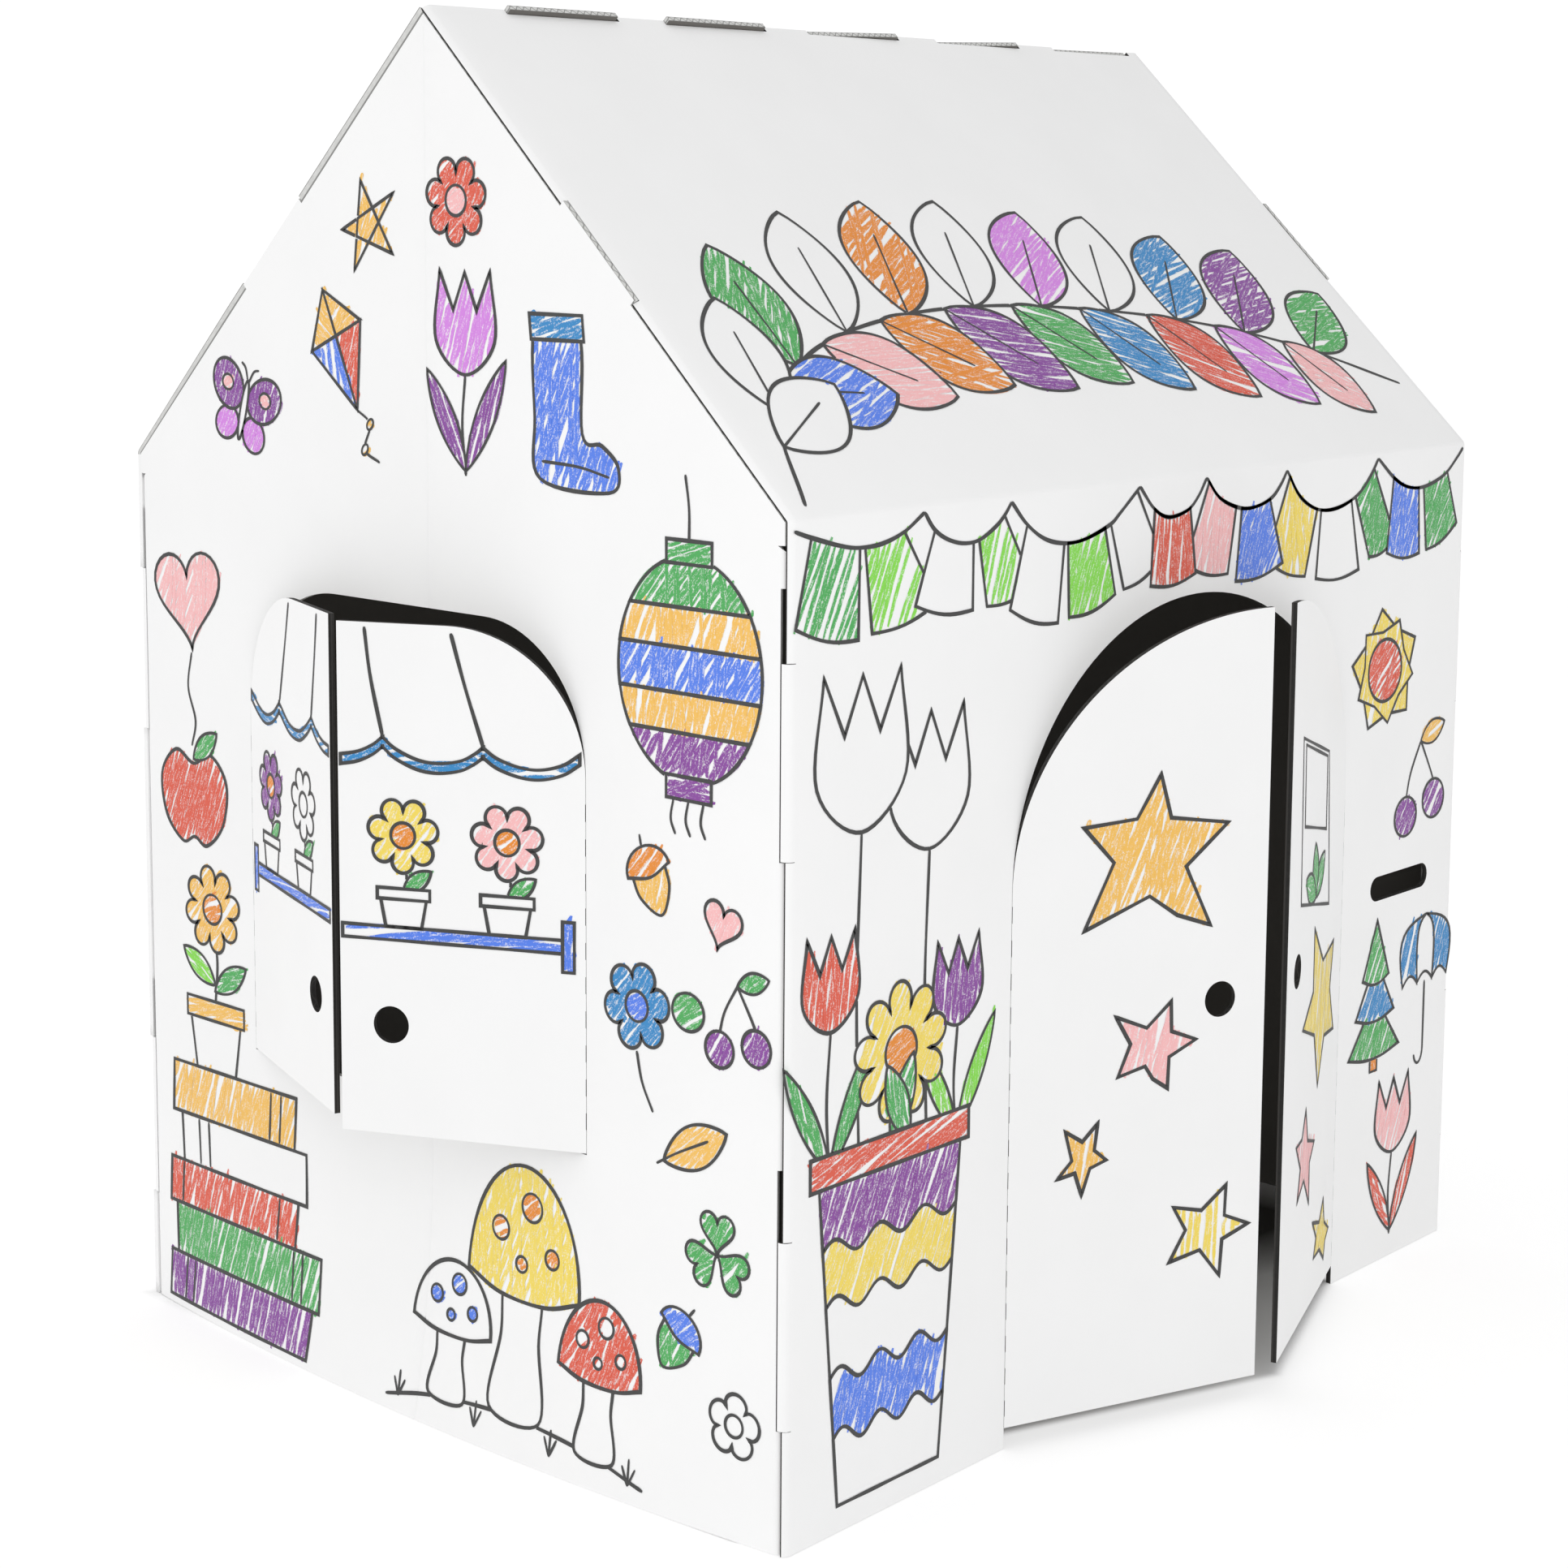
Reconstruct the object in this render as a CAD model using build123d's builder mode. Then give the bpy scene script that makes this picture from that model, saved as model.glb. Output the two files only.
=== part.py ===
"""Cardboard playhouse: four die-cut card sheets locked by tabs, with two doors and two shutters.

Millimetres. Z is up, the doors face -Y, the ridge runs along X and the window looks towards -X.
The sheets are drawn round the middle of the house. Each piece is then moved so that the origin is
the middle of the back wall's foot, on the floor.
"""

import os
from math import atan2, cos, radians, sin

from build123d import *

os.makedirs("parts", exist_ok=True)

# House, over the outer faces
house_length = 990.0
house_depth = 806.0
eave_height = 800.0
ridge_height = 1187.0

# Card and fits
card = 5.0
fold_radius = 7.0
fit_gap = 0.3
slot_gap = 0.6
corner_inset = 1.0
cut_kerf = 1.2
overrun = 30.0

# Corner lips: strips of the walls that bend round the corner into slots of the gables
lip_height = 150.0
lip_drop = 56.0
lip_reach = 4.0
lip_head_gap = 51.0
lower_lip_foot = 100.0
slot_relief = 12.0

# Gable flaps, folded in behind the walls, clear of the mail slot
flap_slot_gap = 7.0
flap_head_gap = 20.0

# Gable tabs, which stand in notches of the roof edges
gable_tab_start = 226.0
gable_tab_length = 108.0

# Ridge tabs of the back slope, which stand in notches of the front slope
ridge_tab_count = 5
ridge_tab_length = 125.0
ridge_left_gap = 87.5
ridge_right_gap = 25.5
ridge_tab_stand = 5.0
ridge_tab_stand_shares = ((1.0, 1.0), (1.0, 0.9), (-0.3, 0.7), (-0.8, 0.6), (-0.6, -0.2))
ridge_notch_slide = 4.0

# Gable crease, pressed into the outer face
crease_depth = 0.6
crease_width = 3.0

# Doorway and doors, between the two piers of the front wall
left_pier = 272.0
right_pier = 208.0
door_springing = 472.0
door_rise = 223.0
door_floor_gap = 18.0
door_hole_setback = 47.0
door_hole_height = 360.0
left_door_swing = 21.0
right_door_swing = 21.0

# Window and shutters
window_offset = 27.0
window_width = 428.0
window_sill_height = 270.0
window_head_height = 695.0
window_corner = 119.0
shutter_hole_setback = 45.0
shutter_hole_height = 363.0
left_shutter_swing = 20.0
right_shutter_swing = 26.0

# Finger holes, and the slits along each crease that a leaf folds on
finger_hole = 31.0
slit_length = 14.0
slit_depth = 1.0
slit_pitch = 28.0

# Mail slot, in the middle of the right pier
mail_slot_length = 106.0
mail_slot_height = 24.0
mail_slot_centre_height = 377.0

# Roof pitch and the lines that follow from it
half_length = house_length / 2
half_depth = house_depth / 2
pitch = atan2(ridge_height - eave_height, half_depth)
sheet_length = house_length - 2 * corner_inset
ridge_setback = (card * (1 + abs(cos(2 * pitch))) + fit_gap) / sin(2 * pitch)
gable_half = half_depth - card - fit_gap
gable_apex = ridge_height - (card + fit_gap) / cos(pitch)
gable_eave = gable_apex - gable_half * (ridge_height - eave_height) / half_depth
upper_lip_foot = eave_height - lip_head_gap - lip_drop - lip_height
lip_feet = (lower_lip_foot, upper_lip_foot)
flap_width = (right_pier - mail_slot_length) / 2 - flap_slot_gap
door_width = house_length - left_pier - right_pier
door_offset = (left_pier - right_pier) / 2
door_leaf = door_width / 2
shutter_leaf = window_width / 2

# Working planes: the two roof slopes, seen from outside with the ridge as their X axis
front_slope = Plane((0, 0, ridge_height), x_dir=(1, 0, 0), z_dir=(0, -sin(pitch), cos(pitch)))
back_slope = Plane((0, 0, ridge_height), x_dir=(-1, 0, 0), z_dir=(0, sin(pitch), cos(pitch)))
front_face = Plane.XZ.offset(half_depth)
window_face = Plane.YZ.offset(-half_length)
ridge_tab_room = sheet_length - ridge_left_gap - ridge_right_gap - ridge_tab_length
ridge_tab_pitch = ridge_tab_room / (ridge_tab_count - 1)
ridge_tab_starts = [
    ridge_left_gap - sheet_length / 2 + ridge_tab_pitch * place for place in range(ridge_tab_count)
]


def folded_profile(side, ridge_stop):
    """Section of a wall and its roof slope, one card folded at the eave, on one side of the ridge."""
    ridge_end = (side * ridge_stop * cos(pitch), ridge_height - ridge_stop * sin(pitch))
    with BuildSketch(Plane.YZ) as profile:
        with BuildLine():
            FilletPolyline(
                (side * half_depth, 0), (side * half_depth, eave_height), ridge_end, radius=fold_radius
            )
            offset(amount=card, side=Side.LEFT if side > 0 else Side.RIGHT)
        make_face()
    return profile.sketch


def roof_edge_notches(slope):
    """Notches in both side edges of a roof slope, which take the gable tabs."""
    notch_depth = card - corner_inset + slot_gap
    notch_middle = gable_tab_start + gable_tab_length / 2
    with BuildSketch(slope) as notches:
        for end in (-1, 1):
            with Locations((end * sheet_length / 2, -notch_middle)):
                Rectangle(2 * notch_depth, gable_tab_length + 2 * slot_gap)
    return notches.sketch


def crease_slits(low, high):
    """Row of slits along a leaf's crease at X 0, between two levels."""
    slits = int((high - low) // slit_pitch)
    with BuildSketch() as row:
        with Locations((fit_gap, (low + high) / 2)):
            with GridLocations(slit_pitch, slit_pitch, 1, slits):
                Rectangle(2 * slit_depth, slit_length)
    return row.sketch


def door_leaf_face(plane):
    """One door leaf on its plane: crease at X 0, free edge under the crown of the arch."""
    with BuildSketch(plane) as leaf:
        with BuildLine():
            foot = Line((fit_gap, door_floor_gap), (door_leaf, door_floor_gap))
            Line(foot @ 1, (door_leaf, door_springing + door_rise - cut_kerf))
            arch_centre = (door_leaf, door_springing)
            EllipticalCenterArc(arch_centre, door_leaf - fit_gap, door_rise - cut_kerf, 90, arc_size=90)
            Line((fit_gap, door_springing), foot @ 0)
        make_face()
        with Locations((door_leaf, 0)):
            Rectangle(cut_kerf, 2 * ridge_height, mode=Mode.SUBTRACT)
        with Locations((door_leaf - door_hole_setback, door_hole_height)):
            Circle(finger_hole / 2, mode=Mode.SUBTRACT)
        add(crease_slits(door_floor_gap, door_springing), mode=Mode.SUBTRACT)
    return leaf.sketch


def shutter_leaf_face(plane):
    """One shutter leaf on its plane: crease at X 0, the upper corner there rounded as the window is."""
    leaf_foot = window_sill_height + cut_kerf
    leaf_head = window_head_height - cut_kerf
    free_edge = shutter_leaf - cut_kerf / 2
    with BuildSketch(plane) as leaf:
        with Locations((fit_gap, leaf_foot)):
            Rectangle(free_edge - fit_gap, leaf_head - leaf_foot, align=Align.MIN)
        upper_corners = leaf.vertices().group_by(Axis.Y)[-1]
        fillet(upper_corners.sort_by(Axis.X)[0], window_corner - cut_kerf)
        with Locations((shutter_leaf - shutter_hole_setback, shutter_hole_height)):
            Circle(finger_hole / 2, mode=Mode.SUBTRACT)
        add(crease_slits(leaf_foot, window_head_height - window_corner), mode=Mode.SUBTRACT)
    return leaf.sketch


def export_piece(piece, name):
    """Moves a piece to the back wall's foot, labels it and writes its file."""
    placed = Pos(0, card / 2 - half_depth, 0) * piece
    placed.label = name
    export_step(placed, f"parts/{name}.step")


# Lips of the front wall, at both corners
with BuildPart() as front_lips:
    for lip_foot in lip_feet:
        with BuildSketch(Plane.XY.offset(lip_foot)) as lip_plan:
            with Locations((-half_length, -half_depth)):
                Rectangle(card, card + lip_reach, align=Align.MIN)
                Rectangle(2 * card, card, align=Align.MIN)
            fillet(lip_plan.vertices().group_by(Axis.X)[0].sort_by(Axis.Y)[0], fold_radius)
        extrude(amount=lip_height)
    mirror(about=Plane.YZ)

# Front sheet: front wall and front slope
with BuildPart() as front_sheet:
    extrude(folded_profile(-1, 0), amount=sheet_length / 2, both=True)
    add(front_lips.part)
    with BuildSketch(front_face):
        with BuildLine():
            jamb_left = door_offset - door_leaf
            jamb_right = door_offset + door_leaf
            Polyline(
                (jamb_left, door_springing), (jamb_left, 0), (jamb_right, 0), (jamb_right, door_springing)
            )
            EllipticalCenterArc((door_offset, door_springing), door_leaf, door_rise, 0, arc_size=180)
        make_face()
        with Locations((half_length - right_pier / 2, mail_slot_centre_height)):
            SlotOverall(mail_slot_length, mail_slot_height)
    extrude(amount=-overrun, both=True, mode=Mode.SUBTRACT)
    extrude(roof_edge_notches(front_slope), amount=overrun, both=True, mode=Mode.SUBTRACT)
    with BuildSketch(front_slope):
        for tab_start in ridge_tab_starts:
            with Locations((tab_start - slot_gap, -card - slot_gap)):
                Rectangle(
                    ridge_tab_length + ridge_notch_slide + 2 * slot_gap, overrun, align=Align.MIN
                )
    extrude(amount=-overrun, both=True, mode=Mode.SUBTRACT)
export_piece(front_sheet.part, "front_sheet")

# Back sheet: back wall and back slope, with the ridge tabs
with BuildPart() as back_sheet:
    extrude(folded_profile(1, ridge_setback), amount=sheet_length / 2, both=True)
    add(mirror(front_lips.part, about=Plane.XZ, mode=Mode.PRIVATE))
    extrude(roof_edge_notches(back_slope), amount=overrun, both=True, mode=Mode.SUBTRACT)
    with BuildSketch(back_slope):
        for tab_start, (left_share, right_share) in zip(ridge_tab_starts, ridge_tab_stand_shares):
            tab_end = tab_start + ridge_tab_length
            with BuildLine():
                Polyline(
                    (-tab_start, -ridge_setback - card),
                    (-tab_end, -ridge_setback - card),
                    (-tab_end, right_share * ridge_tab_stand),
                    (-tab_start, left_share * ridge_tab_stand),
                    close=True,
                )
            make_face()
    extrude(amount=-card)
export_piece(back_sheet.part, "back_sheet")

# Blank of a gable: pentagon, flaps, tabs, corner slots and crease, at the window end
with BuildPart() as gable_blank:
    with BuildSketch(window_face) as pentagon:
        with BuildLine():
            Polyline(
                (-gable_half, 0),
                (gable_half, 0),
                (gable_half, gable_eave),
                (0, gable_apex),
                (-gable_half, gable_eave),
                close=True,
            )
        make_face()
    extrude(amount=card)
    with BuildSketch(Plane.XZ.offset(gable_half)):
        with BuildLine():
            Polyline(
                (-half_length, 0),
                (flap_width - half_length, 0),
                (flap_width - half_length, eave_height - flap_head_gap - flap_width),
                (-half_length, eave_height - flap_head_gap),
                close=True,
            )
        make_face()
    extrude(amount=-card)
    with BuildSketch(front_slope):
        with Locations((card / 2 - half_length, -gable_tab_start - gable_tab_length / 2)):
            Rectangle(card, gable_tab_length)
    extrude(amount=-2 * card)
    mirror(about=Plane.XZ)
    fillet(gable_blank.edges().filter_by(Axis.Z).group_by(Axis.X)[0], fold_radius)
    with BuildSketch(window_face):
        for lip_foot in lip_feet:
            for side in (-1, 1):
                with Locations((side * half_depth, lip_foot - slot_gap + (lip_height + lip_drop) / 2)):
                    Rectangle(2 * (card + lip_reach + slot_gap), lip_height + lip_drop)
    extrude(amount=card + slot_relief, mode=Mode.SUBTRACT)
    with BuildSketch(Plane.XY):
        with Locations((-half_length, 0)):
            with BuildLine():
                Polyline((0, -crease_width / 2), (crease_depth, 0), (0, crease_width / 2), close=True)
            make_face()
    extrude(amount=ridge_height, mode=Mode.SUBTRACT)

# Window gable
with BuildPart() as window_gable:
    add(gable_blank.part)
    with BuildSketch(window_face) as window:
        with Locations((window_offset, (window_sill_height + window_head_height) / 2)):
            Rectangle(window_width, window_head_height - window_sill_height)
        fillet(window.vertices().group_by(Axis.Y)[-1], window_corner)
    extrude(amount=overrun, both=True, mode=Mode.SUBTRACT)
export_piece(window_gable.part, "window_gable")

# Plain gable, at the other end
with BuildPart() as plain_gable:
    add(mirror(gable_blank.part, about=Plane.YZ, mode=Mode.PRIVATE))
export_piece(plain_gable.part, "plain_gable")

# Planes of the leaves, ajar: each stands on its hinge line, with X to the free edge
left_door_angle = radians(left_door_swing)
left_door_plane = Plane(
    (door_offset - door_leaf, -half_depth, 0),
    x_dir=(cos(left_door_angle), -sin(left_door_angle), 0),
    z_dir=(-sin(left_door_angle), -cos(left_door_angle), 0),
)
right_door_angle = radians(right_door_swing)
right_door_plane = Plane(
    (door_offset + door_leaf, -half_depth, 0),
    x_dir=(-cos(right_door_angle), -sin(right_door_angle), 0),
    z_dir=(-sin(right_door_angle), cos(right_door_angle), 0),
)
left_shutter_angle = radians(left_shutter_swing)
left_shutter_plane = Plane(
    (-half_length, window_offset + shutter_leaf, 0),
    x_dir=(-sin(left_shutter_angle), -cos(left_shutter_angle), 0),
    z_dir=(-cos(left_shutter_angle), sin(left_shutter_angle), 0),
)
right_shutter_angle = radians(right_shutter_swing)
right_shutter_plane = Plane(
    (-half_length, window_offset - shutter_leaf, 0),
    x_dir=(-sin(right_shutter_angle), cos(right_shutter_angle), 0),
    z_dir=(cos(right_shutter_angle), sin(right_shutter_angle), 0),
)

# Doors, left and right as seen from outside
with BuildPart() as left_door:
    extrude(door_leaf_face(left_door_plane), amount=-card)
export_piece(left_door.part, "left_door")

with BuildPart() as right_door:
    extrude(door_leaf_face(right_door_plane), amount=card)
export_piece(right_door.part, "right_door")

# Shutters, left and right as seen from outside
with BuildPart() as left_shutter:
    extrude(shutter_leaf_face(left_shutter_plane), amount=-card)
export_piece(left_shutter.part, "left_shutter")

with BuildPart() as right_shutter:
    extrude(shutter_leaf_face(right_shutter_plane), amount=card)
export_piece(right_shutter.part, "right_shutter")
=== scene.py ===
"""Cardboard playhouse of four folded card sheets, with doors, shutters and crayon-coloured line drawings.

Each sheet starts as its flat die-cut blank, in millimetres as seen from outside: across to the right, along
upwards. The blank is cut into triangles, folded into place and given its thickness. The drawings lie on the
same flat coordinates, so they follow the sheet that carries them.
"""

import logging
from collections.abc import Sequence
from dataclasses import dataclass, field
from enum import Enum
from math import atan2, cos, hypot, pi, radians, sin, tan

import bpy
import numpy as np
from bpy.types import Material, Mesh, Node, NodeSocket, NodeTree, Object
from mathutils import Matrix, Vector
from mathutils.geometry import delaunay_2d_cdt


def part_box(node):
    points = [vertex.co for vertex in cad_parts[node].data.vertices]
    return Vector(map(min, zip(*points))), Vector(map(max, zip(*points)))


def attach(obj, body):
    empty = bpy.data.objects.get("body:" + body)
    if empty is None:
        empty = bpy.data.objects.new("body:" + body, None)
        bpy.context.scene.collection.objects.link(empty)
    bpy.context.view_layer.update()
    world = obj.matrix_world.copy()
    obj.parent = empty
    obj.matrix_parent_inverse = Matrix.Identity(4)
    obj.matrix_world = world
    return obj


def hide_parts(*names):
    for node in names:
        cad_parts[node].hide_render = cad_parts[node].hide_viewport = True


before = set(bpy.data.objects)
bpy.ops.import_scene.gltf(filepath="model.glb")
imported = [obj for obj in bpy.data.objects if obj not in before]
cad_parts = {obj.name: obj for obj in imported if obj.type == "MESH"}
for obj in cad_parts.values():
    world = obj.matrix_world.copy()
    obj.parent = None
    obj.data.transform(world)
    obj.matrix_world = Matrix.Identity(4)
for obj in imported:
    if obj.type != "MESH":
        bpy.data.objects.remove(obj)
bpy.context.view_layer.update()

log = logging.getLogger("playhouse")
Points = np.ndarray
Place = Sequence[float]
Pair = tuple[float, float]
Triple = tuple[float, float, float]
Line = tuple[Pair, ...]
Strip = tuple[Points, np.ndarray, np.ndarray]  # flat corners, their heights above the sheet, quads
MM = 0.001
TINY = 1e-9
FACTOR, FIRST, SECOND, MIXED = 0, 6, 7, 2  # sockets of the mix node for colours
FOLD_LINES = 6  # score lines that give a fold its roundness
FLUTE_PITCH = 7.8  # mm between the ridges of the corrugated medium
HOUSE_MIDDLE_Y = (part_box("front_sheet")[0].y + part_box("back_sheet")[1].y) / 2


class Body(Enum):
    """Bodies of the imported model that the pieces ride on."""

    HOUSE = "house"
    LEFT_DOOR = "left_door"
    RIGHT_DOOR = "right_door"
    LEFT_SHUTTER = "left_shutter"
    RIGHT_SHUTTER = "right_shutter"


class Side(Enum):
    """Side of the ridge that a folded sheet is on."""

    FRONT = -1
    BACK = 1


class End(Enum):
    """End of the ridge that a gable closes."""

    WINDOW = -1
    PLAIN = 1


class Hand(Enum):
    """Side of its opening that a leaf hangs on, seen from outside."""

    LEFT = 1
    RIGHT = -1


class Wax(Enum):
    """Crayons, as sRGB hex."""

    GOLD = "#f1bd58"
    ORANGE = "#e68a24"
    YELLOW = "#f1d75a"
    RED = "#dc5840"
    PINK = "#f5b9ba"
    LILAC = "#d484e1"
    PURPLE = "#86429b"
    GREEN = "#48a956"
    LIME = "#83d846"
    ROYAL = "#507de8"
    BLUE = "#2c86c4"


Fill = Wax | None


@dataclass(frozen=True)
class HouseSizes:
    """Sizes that the sheets share, in mm."""

    length: float = 990.0
    depth: float = 806.0
    eave: float = 800.0
    ridge: float = 1187.0
    card: float = 5.0
    fold: float = 7.0
    inset: float = 1.0
    fit_gap: float = 0.3
    slot_gap: float = 0.6
    kerf: float = 1.2
    lip_feet: tuple[float, ...] = (100.0, 543.0)
    lip_height: float = 150.0
    lip_drop: float = 56.0
    lip_end: float = 9.0
    tab_start: float = 226.0
    tab_length: float = 108.0

    @property
    def pitch(self) -> float:
        """Slope of the roof, in radians."""
        return atan2(self.ridge - self.eave, self.depth / 2)

    @property
    def slope(self) -> float:
        """Length of a roof slope from eave to ridge."""
        return hypot(self.ridge - self.eave, self.depth / 2)


HOUSE = HouseSizes()


def linear(code: str) -> tuple[float, ...]:
    """Turns an sRGB hex colour into linear RGBA.

    Args:
        code: Colour such as "#f4f4f2".

    Returns:
        Linear red, green, blue and an alpha of 1.
    """
    channels = np.array([int(code[i : i + 2], 16) for i in (1, 3, 5)]) / 255
    values = np.where(channels <= 0.04045, channels / 12.92, ((channels + 0.055) / 1.055) ** 2.4)
    return (*values.tolist(), 1.0)


def add_node(tree: NodeTree, kind: str, inputs: dict | None = None, **settings: str | bool) -> Node:
    """Adds a node with its settings and links.

    Args:
        tree: Node tree of a material or the world.
        kind: Blender's name for the node type, without its first word ShaderNode.
        inputs: Input values by name or number; a socket, or a node for its first output, is linked.
        settings: Properties of the node.

    Returns:
        The new node.
    """
    node = tree.nodes.new("ShaderNode" + kind)
    for key, value in settings.items():
        setattr(node, key, value)
    for key, value in (inputs or {}).items():
        source = value.outputs[0] if isinstance(value, Node) else value
        if isinstance(source, NodeSocket):
            tree.links.new(source, node.inputs[key])
        else:
            node.inputs[key].default_value = source
    return node


@dataclass(frozen=True)
class Finish:
    """A surface finish of two tones; each kind of finish fills in its own nodes."""

    name: str
    under: str
    over: str
    roughness: float

    def material(self) -> Material:
        """Makes the finish's material on first use.

        Returns:
            The material.
        """
        found = bpy.data.materials.get(self.name)
        if found:
            return found
        made = bpy.data.materials.new(self.name)
        made.use_nodes = True
        self.dress(made.node_tree, made.node_tree.nodes["Principled BSDF"])
        return made

    def dress(self, tree: NodeTree, shader: Node) -> None:
        """Sets the principled shader and its nodes."""
        raise NotImplementedError

    def paint(self, tree: NodeTree, shader: Node, share: Node) -> NodeSocket:
        """Gives the shader the finish's roughness and its two tones, mixed.

        Args:
            tree: The material's node tree.
            shader: Its principled shader.
            share: Node with the share of the upper tone.

        Returns:
            Socket with the mixed tone.
        """
        tones = {FACTOR: share, FIRST: linear(self.under), SECOND: linear(self.over)}
        tone = add_node(tree, "Mix", tones, data_type="RGBA").outputs[MIXED]
        tree.links.new(tone, shader.inputs["Base Color"])
        shader.inputs["Roughness"].default_value = self.roughness
        return tone


@dataclass(frozen=True)
class PaperLiner(Finish):
    """Paper liner of corrugated card: matte, with soft clouds, fine fibre and the faint ridges of the flutes."""

    relief: float
    painted_glow: float = 0.0  # painted light: emission strength of the face in its own tone
    fibre: float = 0.6  # mm, coarser than real fibre so that it shows
    cloud: float = 90.0  # mm
    ridge_share: float = 0.6  # height of the flutes' ridges against the fibre's
    relief_depth: float = 0.1  # mm

    def dress(self, tree: NodeTree, shader: Node) -> None:
        """Mixes two near tones by a cloud noise; ridges and fibre go into the bump.

        Args:
            tree: The material's node tree.
            shader: Its principled shader.
        """
        spot = add_node(tree, "TexCoord").outputs["Object"]
        cloud = add_node(tree, "TexNoise", {"Vector": spot, "Scale": 1 / (self.cloud * MM), "Detail": 4.0})
        tone = self.paint(tree, shader, cloud)
        blank = add_node(tree, "Attribute", attribute_name="blank").outputs["Vector"]
        across = add_node(tree, "SeparateXYZ", {0: blank}).outputs["X"]
        phase = add_node(tree, "Math", {0: across, 1: 2 * pi / FLUTE_PITCH}, operation="MULTIPLY")
        ridge = add_node(tree, "Math", {0: phase}, operation="SINE")
        fibre = add_node(tree, "TexNoise", {"Vector": spot, "Scale": 1 / (self.fibre * MM), "Detail": 5.0})
        height = add_node(tree, "Math", {0: ridge, 1: self.ridge_share, 2: fibre}, operation="MULTIPLY_ADD")
        relief = {"Strength": self.relief, "Distance": self.relief_depth * MM, "Height": height}
        bump = add_node(tree, "Bump", relief)
        tree.links.new(bump.outputs["Normal"], shader.inputs["Normal"])
        # Painted light: the face glows in its own tone.
        tree.links.new(tone, shader.inputs["Emission Color"])
        shader.inputs["Emission Strength"].default_value = self.painted_glow


@dataclass(frozen=True)
class CutCardEdge(Finish):
    """Cut edge of single-wall card: two liners, the wave of the medium between them and the hollows beside it."""

    wave: float = 0.36  # as a share of the card's thickness, like the next two
    medium_half: float = 0.13
    core_half: float = 0.4
    crush_share: float = 0.5  # most of a hollow that the crush fills
    crush: float = 4.0  # mm

    def dress(self, tree: NodeTree, shader: Node) -> None:
        """Draws the medium where the depth is near 0.5 + wave sin(2 pi across / pitch), and the liners at the rims.

        Args:
            tree: The material's node tree.
            shader: Its principled shader.
        """
        blank = add_node(tree, "Attribute", attribute_name="blank").outputs["Vector"]
        part = add_node(tree, "SeparateXYZ", {0: blank})
        across, depth = part.outputs["X"], part.outputs["Z"]
        phase = add_node(tree, "Math", {0: across, 1: 2 * pi / FLUTE_PITCH}, operation="MULTIPLY")
        swing = add_node(tree, "Math", {0: phase}, operation="SINE")
        middle = add_node(tree, "Math", {0: swing, 1: self.wave, 2: 0.5}, operation="MULTIPLY_ADD")
        medium = add_node(tree, "Math", {0: depth, 1: middle, 2: self.medium_half}, operation="COMPARE")
        core = add_node(tree, "Math", {0: depth, 1: 0.5, 2: self.core_half}, operation="COMPARE")
        liner = add_node(tree, "Math", {0: 1.0, 1: core}, operation="SUBTRACT")
        solid = add_node(tree, "Math", {0: medium, 1: liner}, operation="MAXIMUM")
        spot = add_node(tree, "TexCoord").outputs["Object"]
        crush = add_node(tree, "TexNoise", {"Vector": spot, "Scale": 1 / (self.crush * MM), "Detail": 3.0})
        share = add_node(
            tree, "Math", {0: crush, 1: self.crush_share, 2: solid}, operation="MULTIPLY_ADD", use_clamp=True
        )
        self.paint(tree, shader, share)


@dataclass(frozen=True)
class PrintedInk(Finish):
    """Ink printed on the liner: even dark grey, a little lighter where the paper shows through."""

    grain: float = 0.8  # mm

    def dress(self, tree: NodeTree, shader: Node) -> None:
        """Mixes the two greys by a fine noise.

        Args:
            tree: The material's node tree.
            shader: Its principled shader.
        """
        spot = add_node(tree, "TexCoord").outputs["Object"]
        grain = add_node(tree, "TexNoise", {"Vector": spot, "Scale": 1 / (self.grain * MM), "Detail": 2.0})
        self.paint(tree, shader, grain)


@dataclass(frozen=True)
class WaxCrayon(Finish):
    """Wax crayon rubbed over paper: streaks along each stroke, thin rims, and flecks where the paper stays bare."""

    grain: float = 1.2  # mm
    streak: Triple = (0.11, 1.3, 1.0)  # noise cells per mm along, per half width, per stroke
    rim_loss: float = 0.2
    bare: float = 0.62  # noise levels at which the wax is thinnest and thickest
    full: float = 0.9
    least: float = 0.28  # cover where it is thinnest

    def dress(self, tree: NodeTree, shader: Node) -> None:
        """Covers the paper by streak noise + grain noise - rim loss x (share across)^2, between bare and full.

        Args:
            tree: The material's node tree.
            shader: Its principled shader.
        """
        stroke = add_node(tree, "Attribute", attribute_name="stroke").outputs["Vector"]
        cells = add_node(tree, "VectorMath", {0: stroke, 1: self.streak}, operation="MULTIPLY")
        streak = add_node(tree, "TexNoise", {"Vector": cells, "Scale": 1.0, "Detail": 2.0})
        spot = add_node(tree, "TexCoord").outputs["Object"]
        grain = add_node(tree, "TexNoise", {"Vector": spot, "Scale": 1 / (self.grain * MM), "Detail": 2.0})
        across = add_node(tree, "SeparateXYZ", {0: stroke}).outputs["Y"]
        square = add_node(tree, "Math", {0: across, 1: across}, operation="MULTIPLY")
        noise = add_node(tree, "Math", {0: streak, 1: grain}, operation="ADD")
        level = add_node(tree, "Math", {0: square, 1: -self.rim_loss, 2: noise}, operation="MULTIPLY_ADD")
        span = {"From Min": self.bare, "From Max": self.full, "To Min": self.least, "To Max": 1.0}
        cover = add_node(tree, "MapRange", {"Value": level, **span})
        self.paint(tree, shader, cover)


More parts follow.
